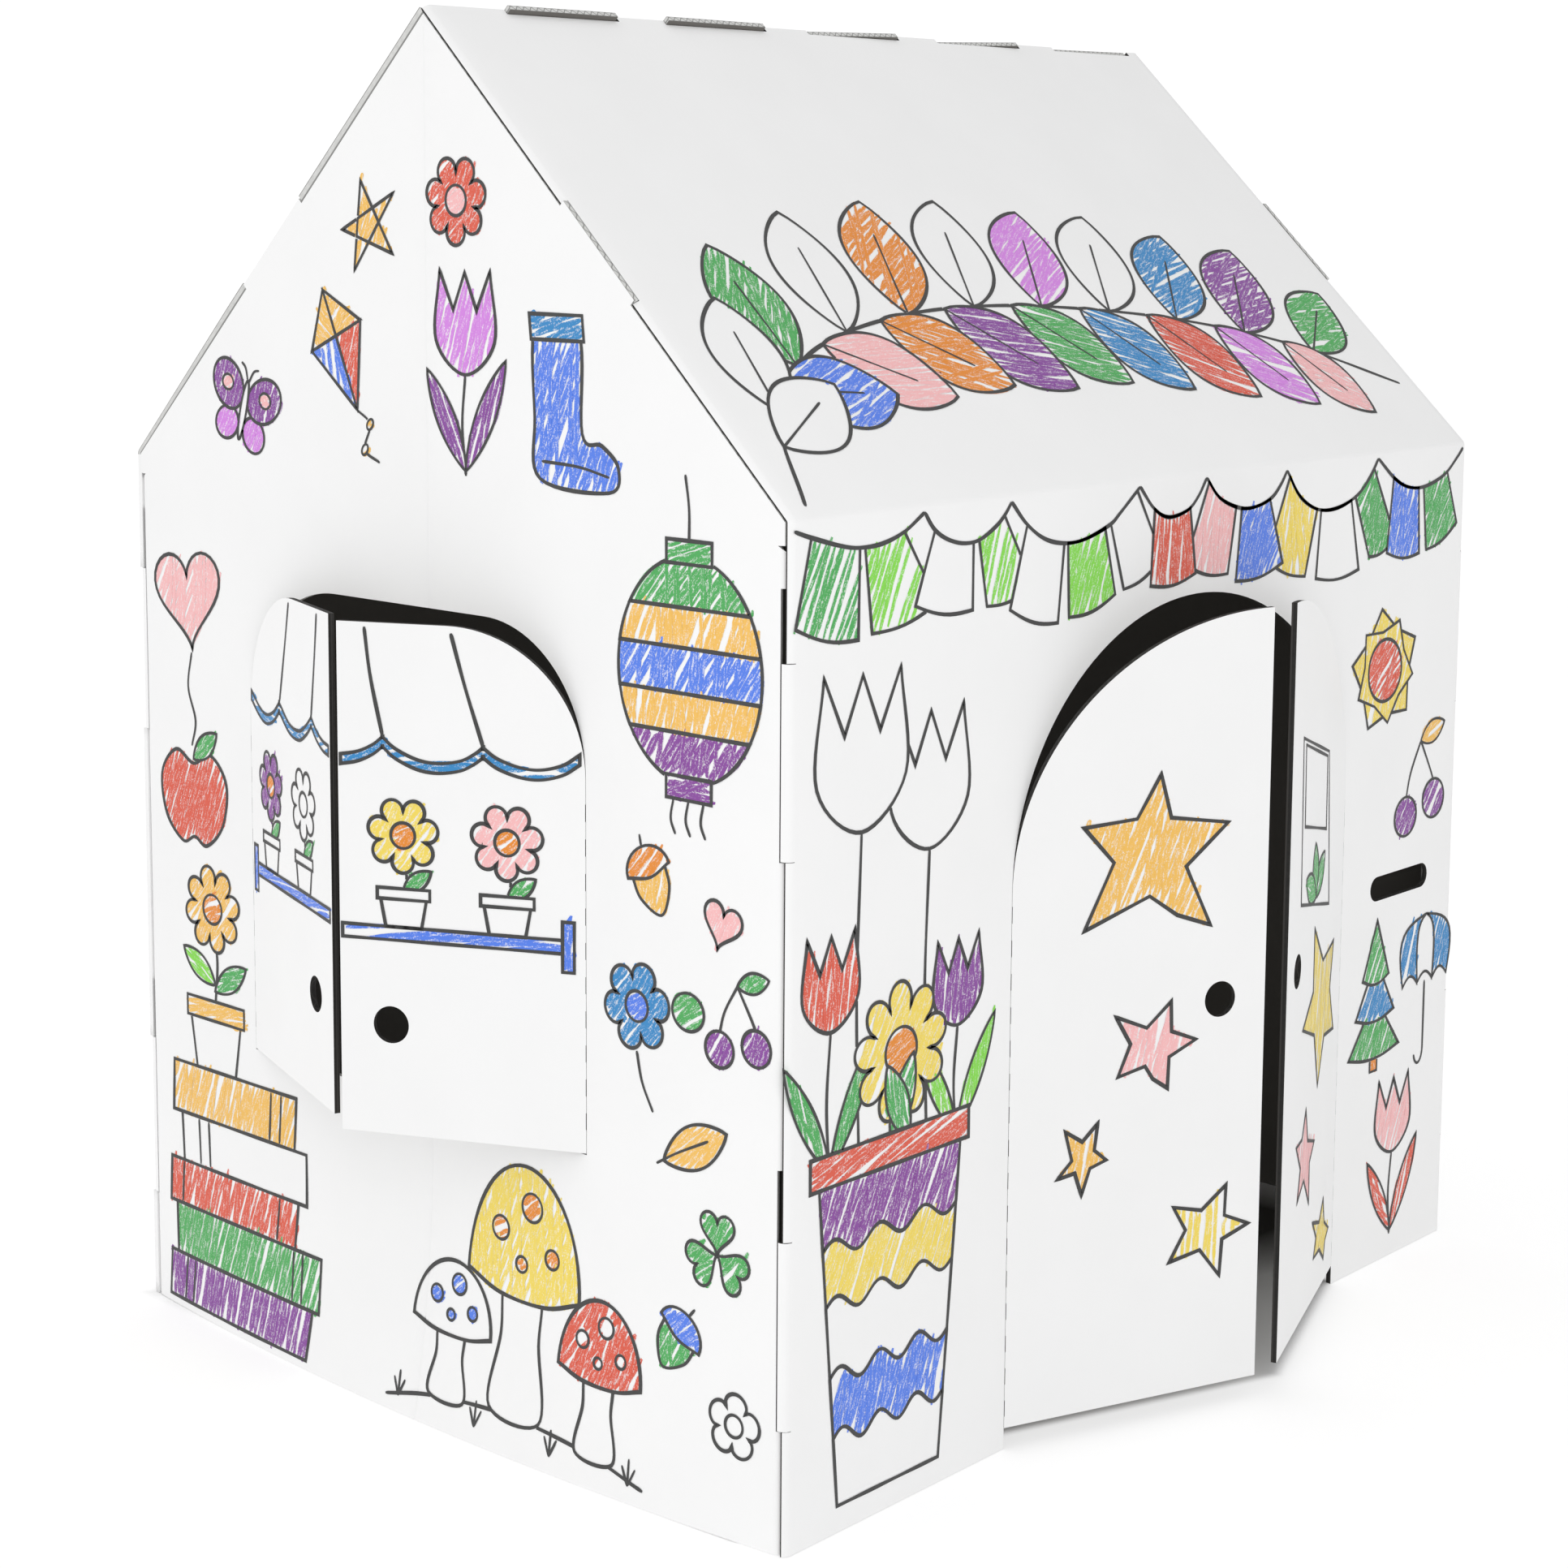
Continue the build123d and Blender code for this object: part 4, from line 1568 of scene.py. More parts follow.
def draw_pot(picture: Picture, foot: Place, width: float, height: float, wax: Fill, rim_wax: Fill) -> None:
    """Draws a flower pot: tapered body and a rim.

    Args:
        picture: Drawing that gets it.
        foot: Middle of its foot.
        width: Width of the rim.
        height: Height over all.
        wax: Crayon of the body.
        rim_wax: Crayon of the rim.
    """
    x, y = foot
    body = np.array([(-0.34, 0), (0.34, 0), (0.44, 0.76), (-0.44, 0.76)]) * (width, height) + foot
    picture.loop(body, wax, 76, 2.8)
    picture.loop(box_loop(x - width / 2, y + 0.72 * height, x + width / 2, y + height), rim_wax, 8, 2.8)


def draw_umbrella(picture: Picture, foot: Place, height: float, width: float, waxes: Sequence[Fill]) -> None:
    """Draws an open umbrella: crook, and a dome of three panels with a scalloped hem.

    Args:
        picture: Drawing that gets it.
        foot: Lowest point of the shaft.
        height: Height over all.
        width: Width of the dome.
        waxes: Crayon of each panel.
    """
    x, y = foot
    hem = y + 0.55 * height
    hook = arc((x - 0.1 * width, y + 0.1 * height), (0.1 * width, 0.1 * height), 200, 360, 13)
    picture.path(np.vstack([hook, (x, hem)]), 3.0)
    top = np.array([x, y + height])
    reach = np.linspace(0, 1, 12)[:, None]
    ribs = [
        np.array([seam, hem])
        + reach * (top - (seam, hem))
        + np.sin(reach * pi) * (0.55 * (seam - x), 0.1 * height)
        for seam in np.array([-0.5, -0.17, 0.17, 0.5]) * width + x
    ]
    for left, right, wax in zip(ribs[:-1], ribs[1:], waxes):
        dip = hem + 0.06 * height * np.sin(np.linspace(0, pi, 9))
        scallop = np.column_stack([np.linspace(right[0, 0], left[0, 0], 9), dip])
        picture.loop(np.vstack([left, right[-2::-1], scallop[1:-1]]), wax, 66, 2.8)


def draw_fir(picture: Picture, foot: Place, height: float, width: float, waxes: Sequence[Fill]) -> None:
    """Draws a fir tree: trunk and three tiers, the lowest first.

    Args:
        picture: Drawing that gets it.
        foot: Foot of the trunk.
        height: Height to which the tiers are scaled.
        width: Width of the lowest tier.
        waxes: Crayon of each tier.
    """
    x, y = foot
    picture.loop(box_loop(x - 0.07 * width, y, x + 0.07 * width, y + 0.16 * height), Wax.ORANGE, 85, 2.6)
    for tier, wax in enumerate(waxes):
        low = y + (0.13 + 0.25 * tier) * height
        half = width / 2 * (1 - 0.24 * tier)
        sag = low - 0.04 * height
        hem = curve([(x - half, low), (x - half / 3, sag), (x + half / 3, sag), (x + half, low)])
        picture.loop(np.vstack([hem, (x, low + 0.38 * height)]), wax, 58, 3.0)


def draw_kite(picture: Picture, centre: Place, size: float, tilt: float, waxes: Sequence[Fill]) -> None:
    """Draws a kite of four panels with a bowed tail.

    Args:
        picture: Drawing that gets it.
        centre: Where the spars cross, nearly.
        size: Length to which it is scaled.
        tilt: Turn in degrees.
        waxes: Crayon of each panel; the first is also that of the bows.
    """
    corners = turned(np.array([(0, 0.6), (0.42, 0.1), (0, -0.7), (-0.42, 0.1), (0, 0.1)]) * size, tilt) + centre
    tail = turned(np.array([(0, -0.7), (0.12, -0.9), (-0.06, -1.1), (0.1, -1.3)]) * size, tilt) + centre
    picture.path(curve(tail), 2.4)
    for step, wax in enumerate(waxes):
        picture.loop(corners[[step, (step + 1) % 4, 4]], wax, 40 + 30 * step, 2.8)
    for knot in (tail[1], tail[2]):
        picture.loop(oval(knot, (0.06 * size, 0.04 * size), tilt + 30), waxes[0], 30, 2.2)


def draw_butterfly(picture: Picture, centre: Place, size: float, tilt: float, waxes: Sequence[Fill]) -> None:
    """Draws a butterfly: four wings, a slim body and two feelers.

    Args:
        picture: Drawing that gets it.
        centre: Middle of the body.
        size: Span to which it is scaled.
        tilt: Turn in degrees.
        waxes: Crayons of the upper wings, the lower wings, their spots and the body.
    """
    upper_wax, lower_wax, spot_wax, body_wax = waxes
    for sign in (1, -1):
        upper = oval((sign * 0.27 * size, 0.17 * size), (0.25 * size, 0.2 * size), sign * 35)
        lower = oval((sign * 0.2 * size, -0.18 * size), (0.17 * size, 0.15 * size), sign * -35)
        spot = oval((sign * 0.28 * size, 0.18 * size), (0.08 * size, 0.07 * size))
        picture.loop(turned(lower, tilt) + centre, lower_wax, 50, 2.8)
        picture.loop(turned(upper, tilt) + centre, upper_wax, 60, 2.8)
        picture.loop(turned(spot, tilt) + centre, spot_wax, 20, 2.2)
        feeler = turned(np.array([(0.01, 0.25), (sign * 0.06, 0.38), (sign * 0.13, 0.42)]) * size, tilt) + centre
        picture.path(curve(feeler), 2.2)
    picture.loop(turned(oval((0, 0), (0.045 * size, 0.28 * size)), tilt) + centre, body_wax, 80, 2.6)


def draw_acorn(picture: Picture, centre: Place, size: float, tilt: float, nut: Fill, cup: Fill) -> None:
    """Draws an acorn: pointed nut under a domed cup with a stalk.

    Args:
        picture: Drawing that gets it.
        centre: Middle of the acorn.
        size: Length to which it is scaled.
        tilt: Turn in degrees.
        nut: Crayon of the nut.
        cup: Crayon of the cup.
    """
    nut_line = curve([(-0.3, 0.05), (-0.26, -0.25), (0, -0.52), (0.26, -0.25), (0.3, 0.05)])
    rim = curve([(-0.38, 0.05), (0, -0.04), (0.38, 0.05)])[1:-1]
    cup_line = np.vstack([arc((0, 0.05), (0.38, 0.3), 0, 180, 17), rim])
    picture.loop(turned(nut_line * size, tilt) + centre, nut, 70, 2.6)
    picture.loop(turned(cup_line * size, tilt) + centre, cup, 40, 2.6)
    picture.path(turned(np.array([(0, 0.35), (0.03, 0.5)]) * size, tilt) + centre, 2.6)


def draw_cherries(picture: Picture, top: Place, size: float, fruit: Fill, leaf: Fill) -> None:
    """Draws two cherries on bent stalks under one leaf.

    Args:
        picture: Drawing that gets them.
        top: Where the stalks meet.
        size: Length to which they are scaled.
        fruit: Crayon of the cherries.
        leaf: Crayon of the leaf.
    """
    x, y = top
    for across, drop in ((-0.3, 0.85), (0.32, 0.72)):
        spot = (x + across * size, y - drop * size)
        elbow = (x + 0.7 * across * size, y - 0.35 * size)
        picture.path(curve([(x, y), elbow, (spot[0], spot[1] + 0.2 * size)]), 2.6)
        picture.loop(oval(spot, (0.24 * size, 0.23 * size)), fruit, 55, 2.8)
    picture.loop(almond((x, y), 0.55 * size, 0.26 * size, 18), leaf, 30, 2.4)


@dataclass
class FrontPicture(Picture):
    """Drawing on the front sheet: leaves on the roof, bunting at the eave, planter and small figures by the doors."""

    tub_middle: float = -372.0
    tub_half: Pair = (62.0, 86.0)  # mm at the foot and the head
    tub_levels: tuple[float, ...] = (22.0, 78.0, 128.0, 186.0, 232.0, 286.0)
    tub_waxes: tuple[Fill, ...] = (None, Wax.ROYAL, None, Wax.YELLOW, Wax.PURPLE)
    tub_wave: float = 7.0

    def draw(self) -> None:
        """Draws the marks from the back to the front."""
        Garland(self.sheet.fold_end).draw(self)
        Bunting().draw(self)
        self.draw_planter()
        self.draw_right_pier()

    def draw_planter(self) -> None:
        """Draws a banded planter with tall flowers, left of the doors."""
        for foot, height, size, wax, leaf in (
            ((-330, 300), 340, 112, None, None),
            ((-412, 300), 378, 124, None, None),
            ((-446, 290), 190, 76, Wax.RED, Wax.GREEN),
            ((-292, 285), 165, 72, Wax.PURPLE, Wax.LIME),
        ):
            draw_tulip(self, foot, height, size, wax, leaf)
        draw_daisy(self, (-362, 372), 56, Wax.YELLOW, Wax.ORANGE, 9)
        self.loop(almond((-372, 298), 74, 26, 70), Wax.GREEN, 60, 2.6)
        self.loop(almond((-352, 298), 70, 26, 112), Wax.GREEN, 100, 2.6)
        for low, high, wax in zip(self.tub_levels[:-1], self.tub_levels[1:], self.tub_waxes):
            self.loop(np.vstack([self.tub_line(low), self.tub_line(high)[::-1]]), wax, 66, 3.2)
        self.loop(box_loop(-468, 282, -276, 308), Wax.RED, 12, 3.3)

    def tub_line(self, level: float) -> Points:
        """Gives a line across the tapered planter, wavy between its foot and its head.

        Args:
            level: Height of the line.

        Returns:
            Points from left to right.
        """
        foot, head = self.tub_levels[0], self.tub_levels[-1]
        half = self.tub_half[0] + (self.tub_half[1] - self.tub_half[0]) * (level - foot) / (head - foot)
        across = np.linspace(self.tub_middle - half, self.tub_middle + half, 49)
        wave = self.tub_wave * np.sin(np.linspace(0, 6 * pi, 49)) if foot < level < head else 0
        return np.column_stack([across, level + wave * np.ones(49)])

    def draw_right_pier(self) -> None:
        """Draws the sun, the cherries, a fir tree, the umbrella and a tulip right of the doors."""
        sun = (352, 590)
        self.loop(star(sun, 60, 8, 0.72), Wax.YELLOW, 58, 3.0)
        self.loop(star(sun, 52, 44, 0.72), Wax.YELLOW, 70, 2.6)
        self.loop(oval(sun, (30, 30)), Wax.RED, 40, 3.0)
        draw_cherries(self, (424, 512), 84, Wax.PURPLE, Wax.GOLD)
        draw_fir(self, (353, 196), 148, 92, (Wax.GREEN, Wax.BLUE, Wax.GREEN))
        draw_umbrella(self, (446, 186), 150, 84, (Wax.BLUE, None, Wax.BLUE))
        draw_tulip(self, (393, 22), 160, 76, Wax.PINK, Wax.RED)


@dataclass
class BackPicture(Picture):
    """Print on the back sheet, not coloured yet: bunting over tulips and toadstools (across, height, size)."""

    tulips: tuple[Triple, ...] = (
        (-405, 330, 112), (-265, 250, 92), (-105, 370, 124), (75, 280, 100), (235, 350, 118), (395, 240, 90),
    )
    toadstools: tuple[Triple, ...] = ((-335, 130, 98), (-15, 150, 110), (320, 125, 94))
    ground: float = 14.0

    def draw(self) -> None:
        """Draws the bunting, then the row from the back to the front."""
        Bunting().draw(self)
        for across, height, size in self.tulips:
            draw_tulip(self, (across, self.ground), height, size, None, Wax.GREEN)
        for across, height, size in self.toadstools:
            draw_toadstool(self, (across, self.ground), height, size, None, None)


@dataclass
class PlainGablePicture(Picture):
    """Print on the plain gable, not coloured yet: fir trees (foot, height, width) under small figures."""

    firs: tuple[tuple[Place, float, float], ...] = (
        ((-15, 14), 560, 270), ((-240, 14), 430, 220), ((215, 14), 380, 200),
    )

    def draw(self) -> None:
        """Draws the trees, then the kite, the butterfly and the flower above them."""
        for foot, height, width in self.firs:
            draw_fir(self, foot, height, width, (None,) * 3)
        draw_kite(self, (-170, 790), 120, 24, (None,) * 4)
        draw_butterfly(self, (180, 700), 130, -16, (None,) * 4)
        draw_daisy(self, (14, 950), 52, None, None)


@dataclass
class GablePicture(Picture):
    """Drawing on the window gable: small figures round the window, books, a lantern and toadstools."""

    star_tips: Line = ((-81, 1046), (-39, 1036), (-41, 986), (-90, 971), (-105, 1005))
    boot: Line = ((136, 812), (214, 806), (224, 826), (206, 842), (184, 850), (180, 930), (132, 934), (130, 860))
    apple: Line = (
        (-326, 520), (-300, 530), (-278, 506), (-284, 468), (-308, 446),
        (-326, 452), (-344, 446), (-368, 468), (-374, 506), (-352, 530),
    )
    books: tuple[tuple[Line, Fill, float, Pair], ...] = (  # corners, crayon, lean, places of bands
        (((-366, 188), (-186, 236)), Wax.GOLD, 2, (0.80, 0.88)),
        (((-350, 142), (-166, 188)), None, -3, (0.14, 0.22)),
        (((-372, 100), (-180, 142)), Wax.RED, 2, (0.10, 0.86)),
        (((-360, 52), (-140, 100)), Wax.GREEN, -2, (0.82, 0.88)),
        (((-374, 8), (-152, 52)), Wax.PURPLE, 3, (0.12, 0.18)),
    )
    lantern_centre: Pair = (300.0, 676.0)
    lantern_radii: Pair = (76.0, 88.0)
    lantern_levels: tuple[float, ...] = (-1.0, -0.55, -0.2, 0.2, 0.55, 1.0)
    lantern_waxes: tuple[Wax, ...] = (Wax.PURPLE, Wax.GOLD, Wax.ROYAL, Wax.GOLD, Wax.GREEN)
    clover: Pair = (332.0, 224.0)
    clover_reach: float = 19.0

    def draw(self) -> None:
        """Draws the marks from the back to the front."""
        self.draw_top()
        self.draw_left()
        self.draw_right()
        self.draw_foot()

    def draw_top(self) -> None:
        """Draws the figures under the apex."""
        tips = np.array(self.star_tips, float)
        waist = [crossing(*tips[[i, (i + 2) % 5, i - 1, (i + 1) % 5]]) for i in range(5)]
        self.loop(np.stack([tips, waist], axis=1).reshape(-1, 2), Wax.GOLD, 66, 2.8)
        self.loop(waist, Wax.GOLD, 66, 2.8)
        draw_daisy(self, (38, 1030), 36, Wax.RED, Wax.PINK, 7)
        draw_kite(self, (-112, 908), 84, 24, (Wax.GOLD, Wax.RED, Wax.ROYAL, Wax.GOLD))
        draw_butterfly(self, (-244, 846), 96, -16, (Wax.PURPLE, Wax.LILAC, Wax.PINK, None))
        draw_tulip(self, (48, 808), 166, 84, Wax.LILAC, Wax.PURPLE)
        self.loop(curve(self.boot, True, 8), Wax.ROYAL, 72, 3.2)
        self.loop(box_loop(126, 922, 186, 942, -2), Wax.BLUE, 10, 3.0)
        self.path(curve([(138, 826), (180, 824), (214, 818)]), 2.4)

    def draw_left(self) -> None:
        """Draws the heart, the apple, the potted flower and the stack of books in the left column."""
        self.loop(heart((-330, 676), 96, 6), Wax.PINK, 64, 3.2)
        self.path(curve([(-326, 622), (-332, 590), (-322, 560), (-328, 536)]), 2.4)
        self.loop(curve(self.apple, True, 8), Wax.RED, 62, 3.2)
        self.loop(almond((-326, 524), 44, 20, 38), Wax.GREEN, 40, 2.6)
        self.path(curve([(-300, 298), (-296, 340), (-302, 372)]), 3.0)
        self.loop(almond((-300, 312), 54, 22, 32), Wax.GREEN, 30, 2.6)
        self.loop(almond((-300, 318), 54, 22, 148), Wax.LIME, 150, 2.6)
        draw_daisy(self, (-302, 388), 40, Wax.GOLD, Wax.ORANGE, 8)
        draw_pot(self, (-300, 236), 84, 66, None, Wax.GOLD)
        for ((left, foot), (right, head)), wax, lean, bands in self.books:
            self.loop(box_loop(left, foot, right, head, lean), wax, 74, 3.2)
            for band in bands:
                spot = left + band * (right - left)
                self.path(np.array([(spot, foot + 2), (spot + lean, head - 2)]), 2.6)

    def draw_right(self) -> None:
        """Draws the paper lantern and the row of small figures in the right column."""
        centre, radii = np.array(self.lantern_centre), np.array(self.lantern_radii)
        self.path(curve([(296, 826), (300, 800), (300, 772)]), 2.6)
        for low, high, wax in zip(self.lantern_levels[:-1], self.lantern_levels[1:], self.lantern_waxes):
            turn = np.arcsin(np.linspace(low, high, 13))
            rightwards = centre + radii * np.column_stack([np.cos(turn), np.sin(turn)])
            leftwards = centre + radii * np.column_stack([-np.cos(turn), np.sin(turn)])
            self.loop(np.vstack([rightwards, leftwards[::-1]]), wax, 68, 3.0)
        self.loop(box_loop(276, 758, 324, 776), Wax.GREEN, 12, 3.0)
        self.loop(box_loop(276, 576, 324, 594), Wax.PURPLE, 12, 3.0)
        for across in (284, 300, 316):
            self.path(curve([(across, 576), (across - 3, 560), (across + 2, 548)]), 2.4)
        draw_acorn(self, (258, 512), 64, 24, Wax.GOLD, Wax.ORANGE)
        self.loop(heart((336, 486), 40, -14), Wax.PINK, 60, 2.8)
        draw_daisy(self, (244, 404), 36, Wax.BLUE, Wax.ROYAL, 6)
        self.path(curve([(244, 368), (250, 344), (262, 322)]), 2.6)
        self.loop(oval((300, 410), (17, 15)), Wax.GREEN, 30, 2.6)
        draw_cherries(self, (352, 440), 62, Wax.PURPLE, Wax.GREEN)
        self.loop(almond((274, 286), 76, 34, 28), Wax.GOLD, 40, 2.8)
        self.path(curve([(266, 282), (290, 296), (322, 312)]), 2.2)
        for tilt in (90, 210, 330):
            leaf = np.array(self.clover) + self.clover_reach * np.array((cos(radians(tilt)), sin(radians(tilt))))
            self.loop(heart(leaf, 36, tilt - 90), Wax.GREEN, 50, 2.6)
        draw_acorn(self, (292, 148), 62, -30, Wax.GREEN, Wax.ROYAL)
        draw_daisy(self, (352, 92), 26, None, None, 5)

    def draw_foot(self) -> None:
        """Draws three toadstools on a mound under the window."""
        self.path(curve([(-40, 12), (20, 26), (110, 34), (200, 28), (262, 14)]), 3.2)
        draw_toadstool(self, (116, 36), 208, 132, Wax.YELLOW, Wax.ORANGE)
        draw_toadstool(self, (34, 28), 116, 96, None, Wax.ROYAL)
        draw_toadstool(self, (208, 26), 128, 92, Wax.RED, None)
        for spot in (-24, 72, 160, 246):
            for lean in (-7, 0, 7):
                self.path(np.array([(spot, 14), (spot + lean, 36 - abs(lean))]), 2.4)


LEFT_STARS = (  # crayon, whether it is rubbed lightly, outline
    (Wax.GOLD, False, (
        (143, 560), (154, 522), (212, 513), (170, 479), (196, 426), (162, 438),
        (134, 457), (70, 434), (98, 489), (68, 521), (120, 524),
    )),
    (Wax.PINK, False, (
        (158, 364), (159, 338), (184, 328), (157, 316), (156, 289), (141, 299),
        (133, 311), (106, 305), (118, 332), (103, 357), (134, 344),
    )),
    (Wax.GOLD, False, (
        (87, 268), (84, 245), (96, 235), (80, 230), (72, 208), (65, 228), (48, 225), (62, 239), (55, 265), (72, 254),
    )),
    (Wax.YELLOW, True, (
        (219, 195), (218, 168), (243, 157), (216, 147), (214, 115),
        (193, 141), (162, 135), (178, 161), (165, 183), (194, 176),
    )),
)
RIGHT_STARS = (
    (Wax.YELLOW, False, (
        (133, 381), (89, 341), (39, 348), (52, 305), (29, 261),
        (74, 266), (99, 225), (122, 279), (177, 298), (132, 322),
    )),
    (Wax.PINK, False, (
        (151, 217), (139, 185), (107, 175), (128, 161), (126, 122),
        (153, 152), (181, 140), (170, 168), (192, 194), (166, 194),
    )),
    (Wax.YELLOW, False, (
        (53, 102), (45, 77), (23, 64), (38, 57), (44, 41), (66, 57), (94, 58), (84, 75), (103, 95), (70, 85),
    )),
)
SIGN = (((209, 569), (88, 536), (69, 390), (201, 418)), ((197, 561), (95, 533), (92, 465), (193, 487)))


@dataclass
class DoorPicture(Picture):
    """Stars on a door, and a framed sign on the right one: outlines as (distance from the crease, height)."""

    stars: tuple[tuple[Wax, bool, Line], ...] = ()
    sign: tuple[Line, ...] = ()
    sprig_foot: Pair = (134.0, 410.0)
    sprig_tilts: tuple[float, ...] = (42.0, 97.0, 150.0)

    def draw(self) -> None:
        """Draws the stars and the sign's frame and board, with a sprig under the board."""
        for wax, light, outline in self.stars:
            self.loop(self.sheet.shut(np.array(outline, float)), wax, 68, 3.3, light)
        for outline in self.sign:
            self.loop(self.sheet.shut(np.array(outline, float)), None, 60, 2.8)
        if self.sign:
            foot = self.sheet.shut(np.array([self.sprig_foot]))[0]
            for tilt in self.sprig_tilts:
                self.loop(almond(foot, 52, 26, tilt), Wax.GREEN, tilt, 2.6)


LEFT_SCALLOPS = (
    ((-237, 598), (-215, 587), (-196, 583), (-176, 588), (-159, 599)),
    ((-159, 599), (-132, 585), (-107, 583), (-89, 590), (-74, 600)),
    ((-74, 600), (-61, 591), (-46, 585), (-31, 583)),
)
LEFT_SEAMS = (((-158, 600), (-142, 650), (-130, 690)), ((-74, 601), (-64, 650), (-57, 690)))
LEFT_POTS = ((-186, Wax.PURPLE), (-98, None))
RIGHT_SCALLOPS = (
    ((-24, 585), (-9, 588), (4, 594), (13, 601)),
    ((13, 601), (24, 592), (43, 584), (61, 582), (80, 585), (92, 591), (100, 597)),
    ((100, 597), (112, 589), (131, 583), (149, 582), (168, 587), (182, 596)),
)
RIGHT_SEAMS = (((13, 602), (3, 650), (-2, 690)), ((100, 598), (85, 645), (73, 688)))
RIGHT_POTS = ((30, Wax.YELLOW), (120, Wax.PINK))


@dataclass
class ShutterPicture(Picture):
    """Awning with a scalloped hem over a shelf of potted flowers, on one shutter."""

    scallops: tuple[Line, ...] = ()
    seams: tuple[Line, ...] = ()
    pots: tuple[tuple[float, Fill], ...] = ()
    shelf: Pair = (0.0, 0.0)
    hem_width: float = 8.0
    shelf_level: float = 434.0
    shelf_width: float = 11.0
    bracket: Pair = (5.0, 15.0)  # mm: half width, reach past the shelf

    def draw(self) -> None:
        """Draws the awning's seams and hem, the shelf and what stands on it."""
        for seam in self.seams:
            self.path(curve(seam), 3.2)
        hem = np.vstack([curve(scallop) for scallop in self.scallops])
        self.loop(np.vstack([hem, (hem - (0, self.hem_width))[::-1]]), Wax.BLUE, 3, 2.8)
        top = self.shelf_level + self.shelf_width
        for spot, wax in self.pots:
            self.path(curve([(spot, top + 22), (spot + 3, top + 42), (spot, top + 62)]), 2.8)
            self.loop(almond((spot, top + 30), 30, 14, 36), Wax.GREEN, 40, 2.4)
            draw_daisy(self, (spot, top + 76), 31, wax, Wax.ORANGE if wax else None, 7)
            draw_pot(self, (spot, top), 46, 32, None, None)
        start, end = self.shelf
        self.loop(box_loop(start, self.shelf_level, end, top), Wax.ROYAL, 3, 2.8)
        post = start if self.sheet.hand is Hand.LEFT else end
        half, past = self.bracket
        self.loop(box_loop(post - half, self.shelf_level - past, post + half, top + past), Wax.ROYAL, 84, 2.8)


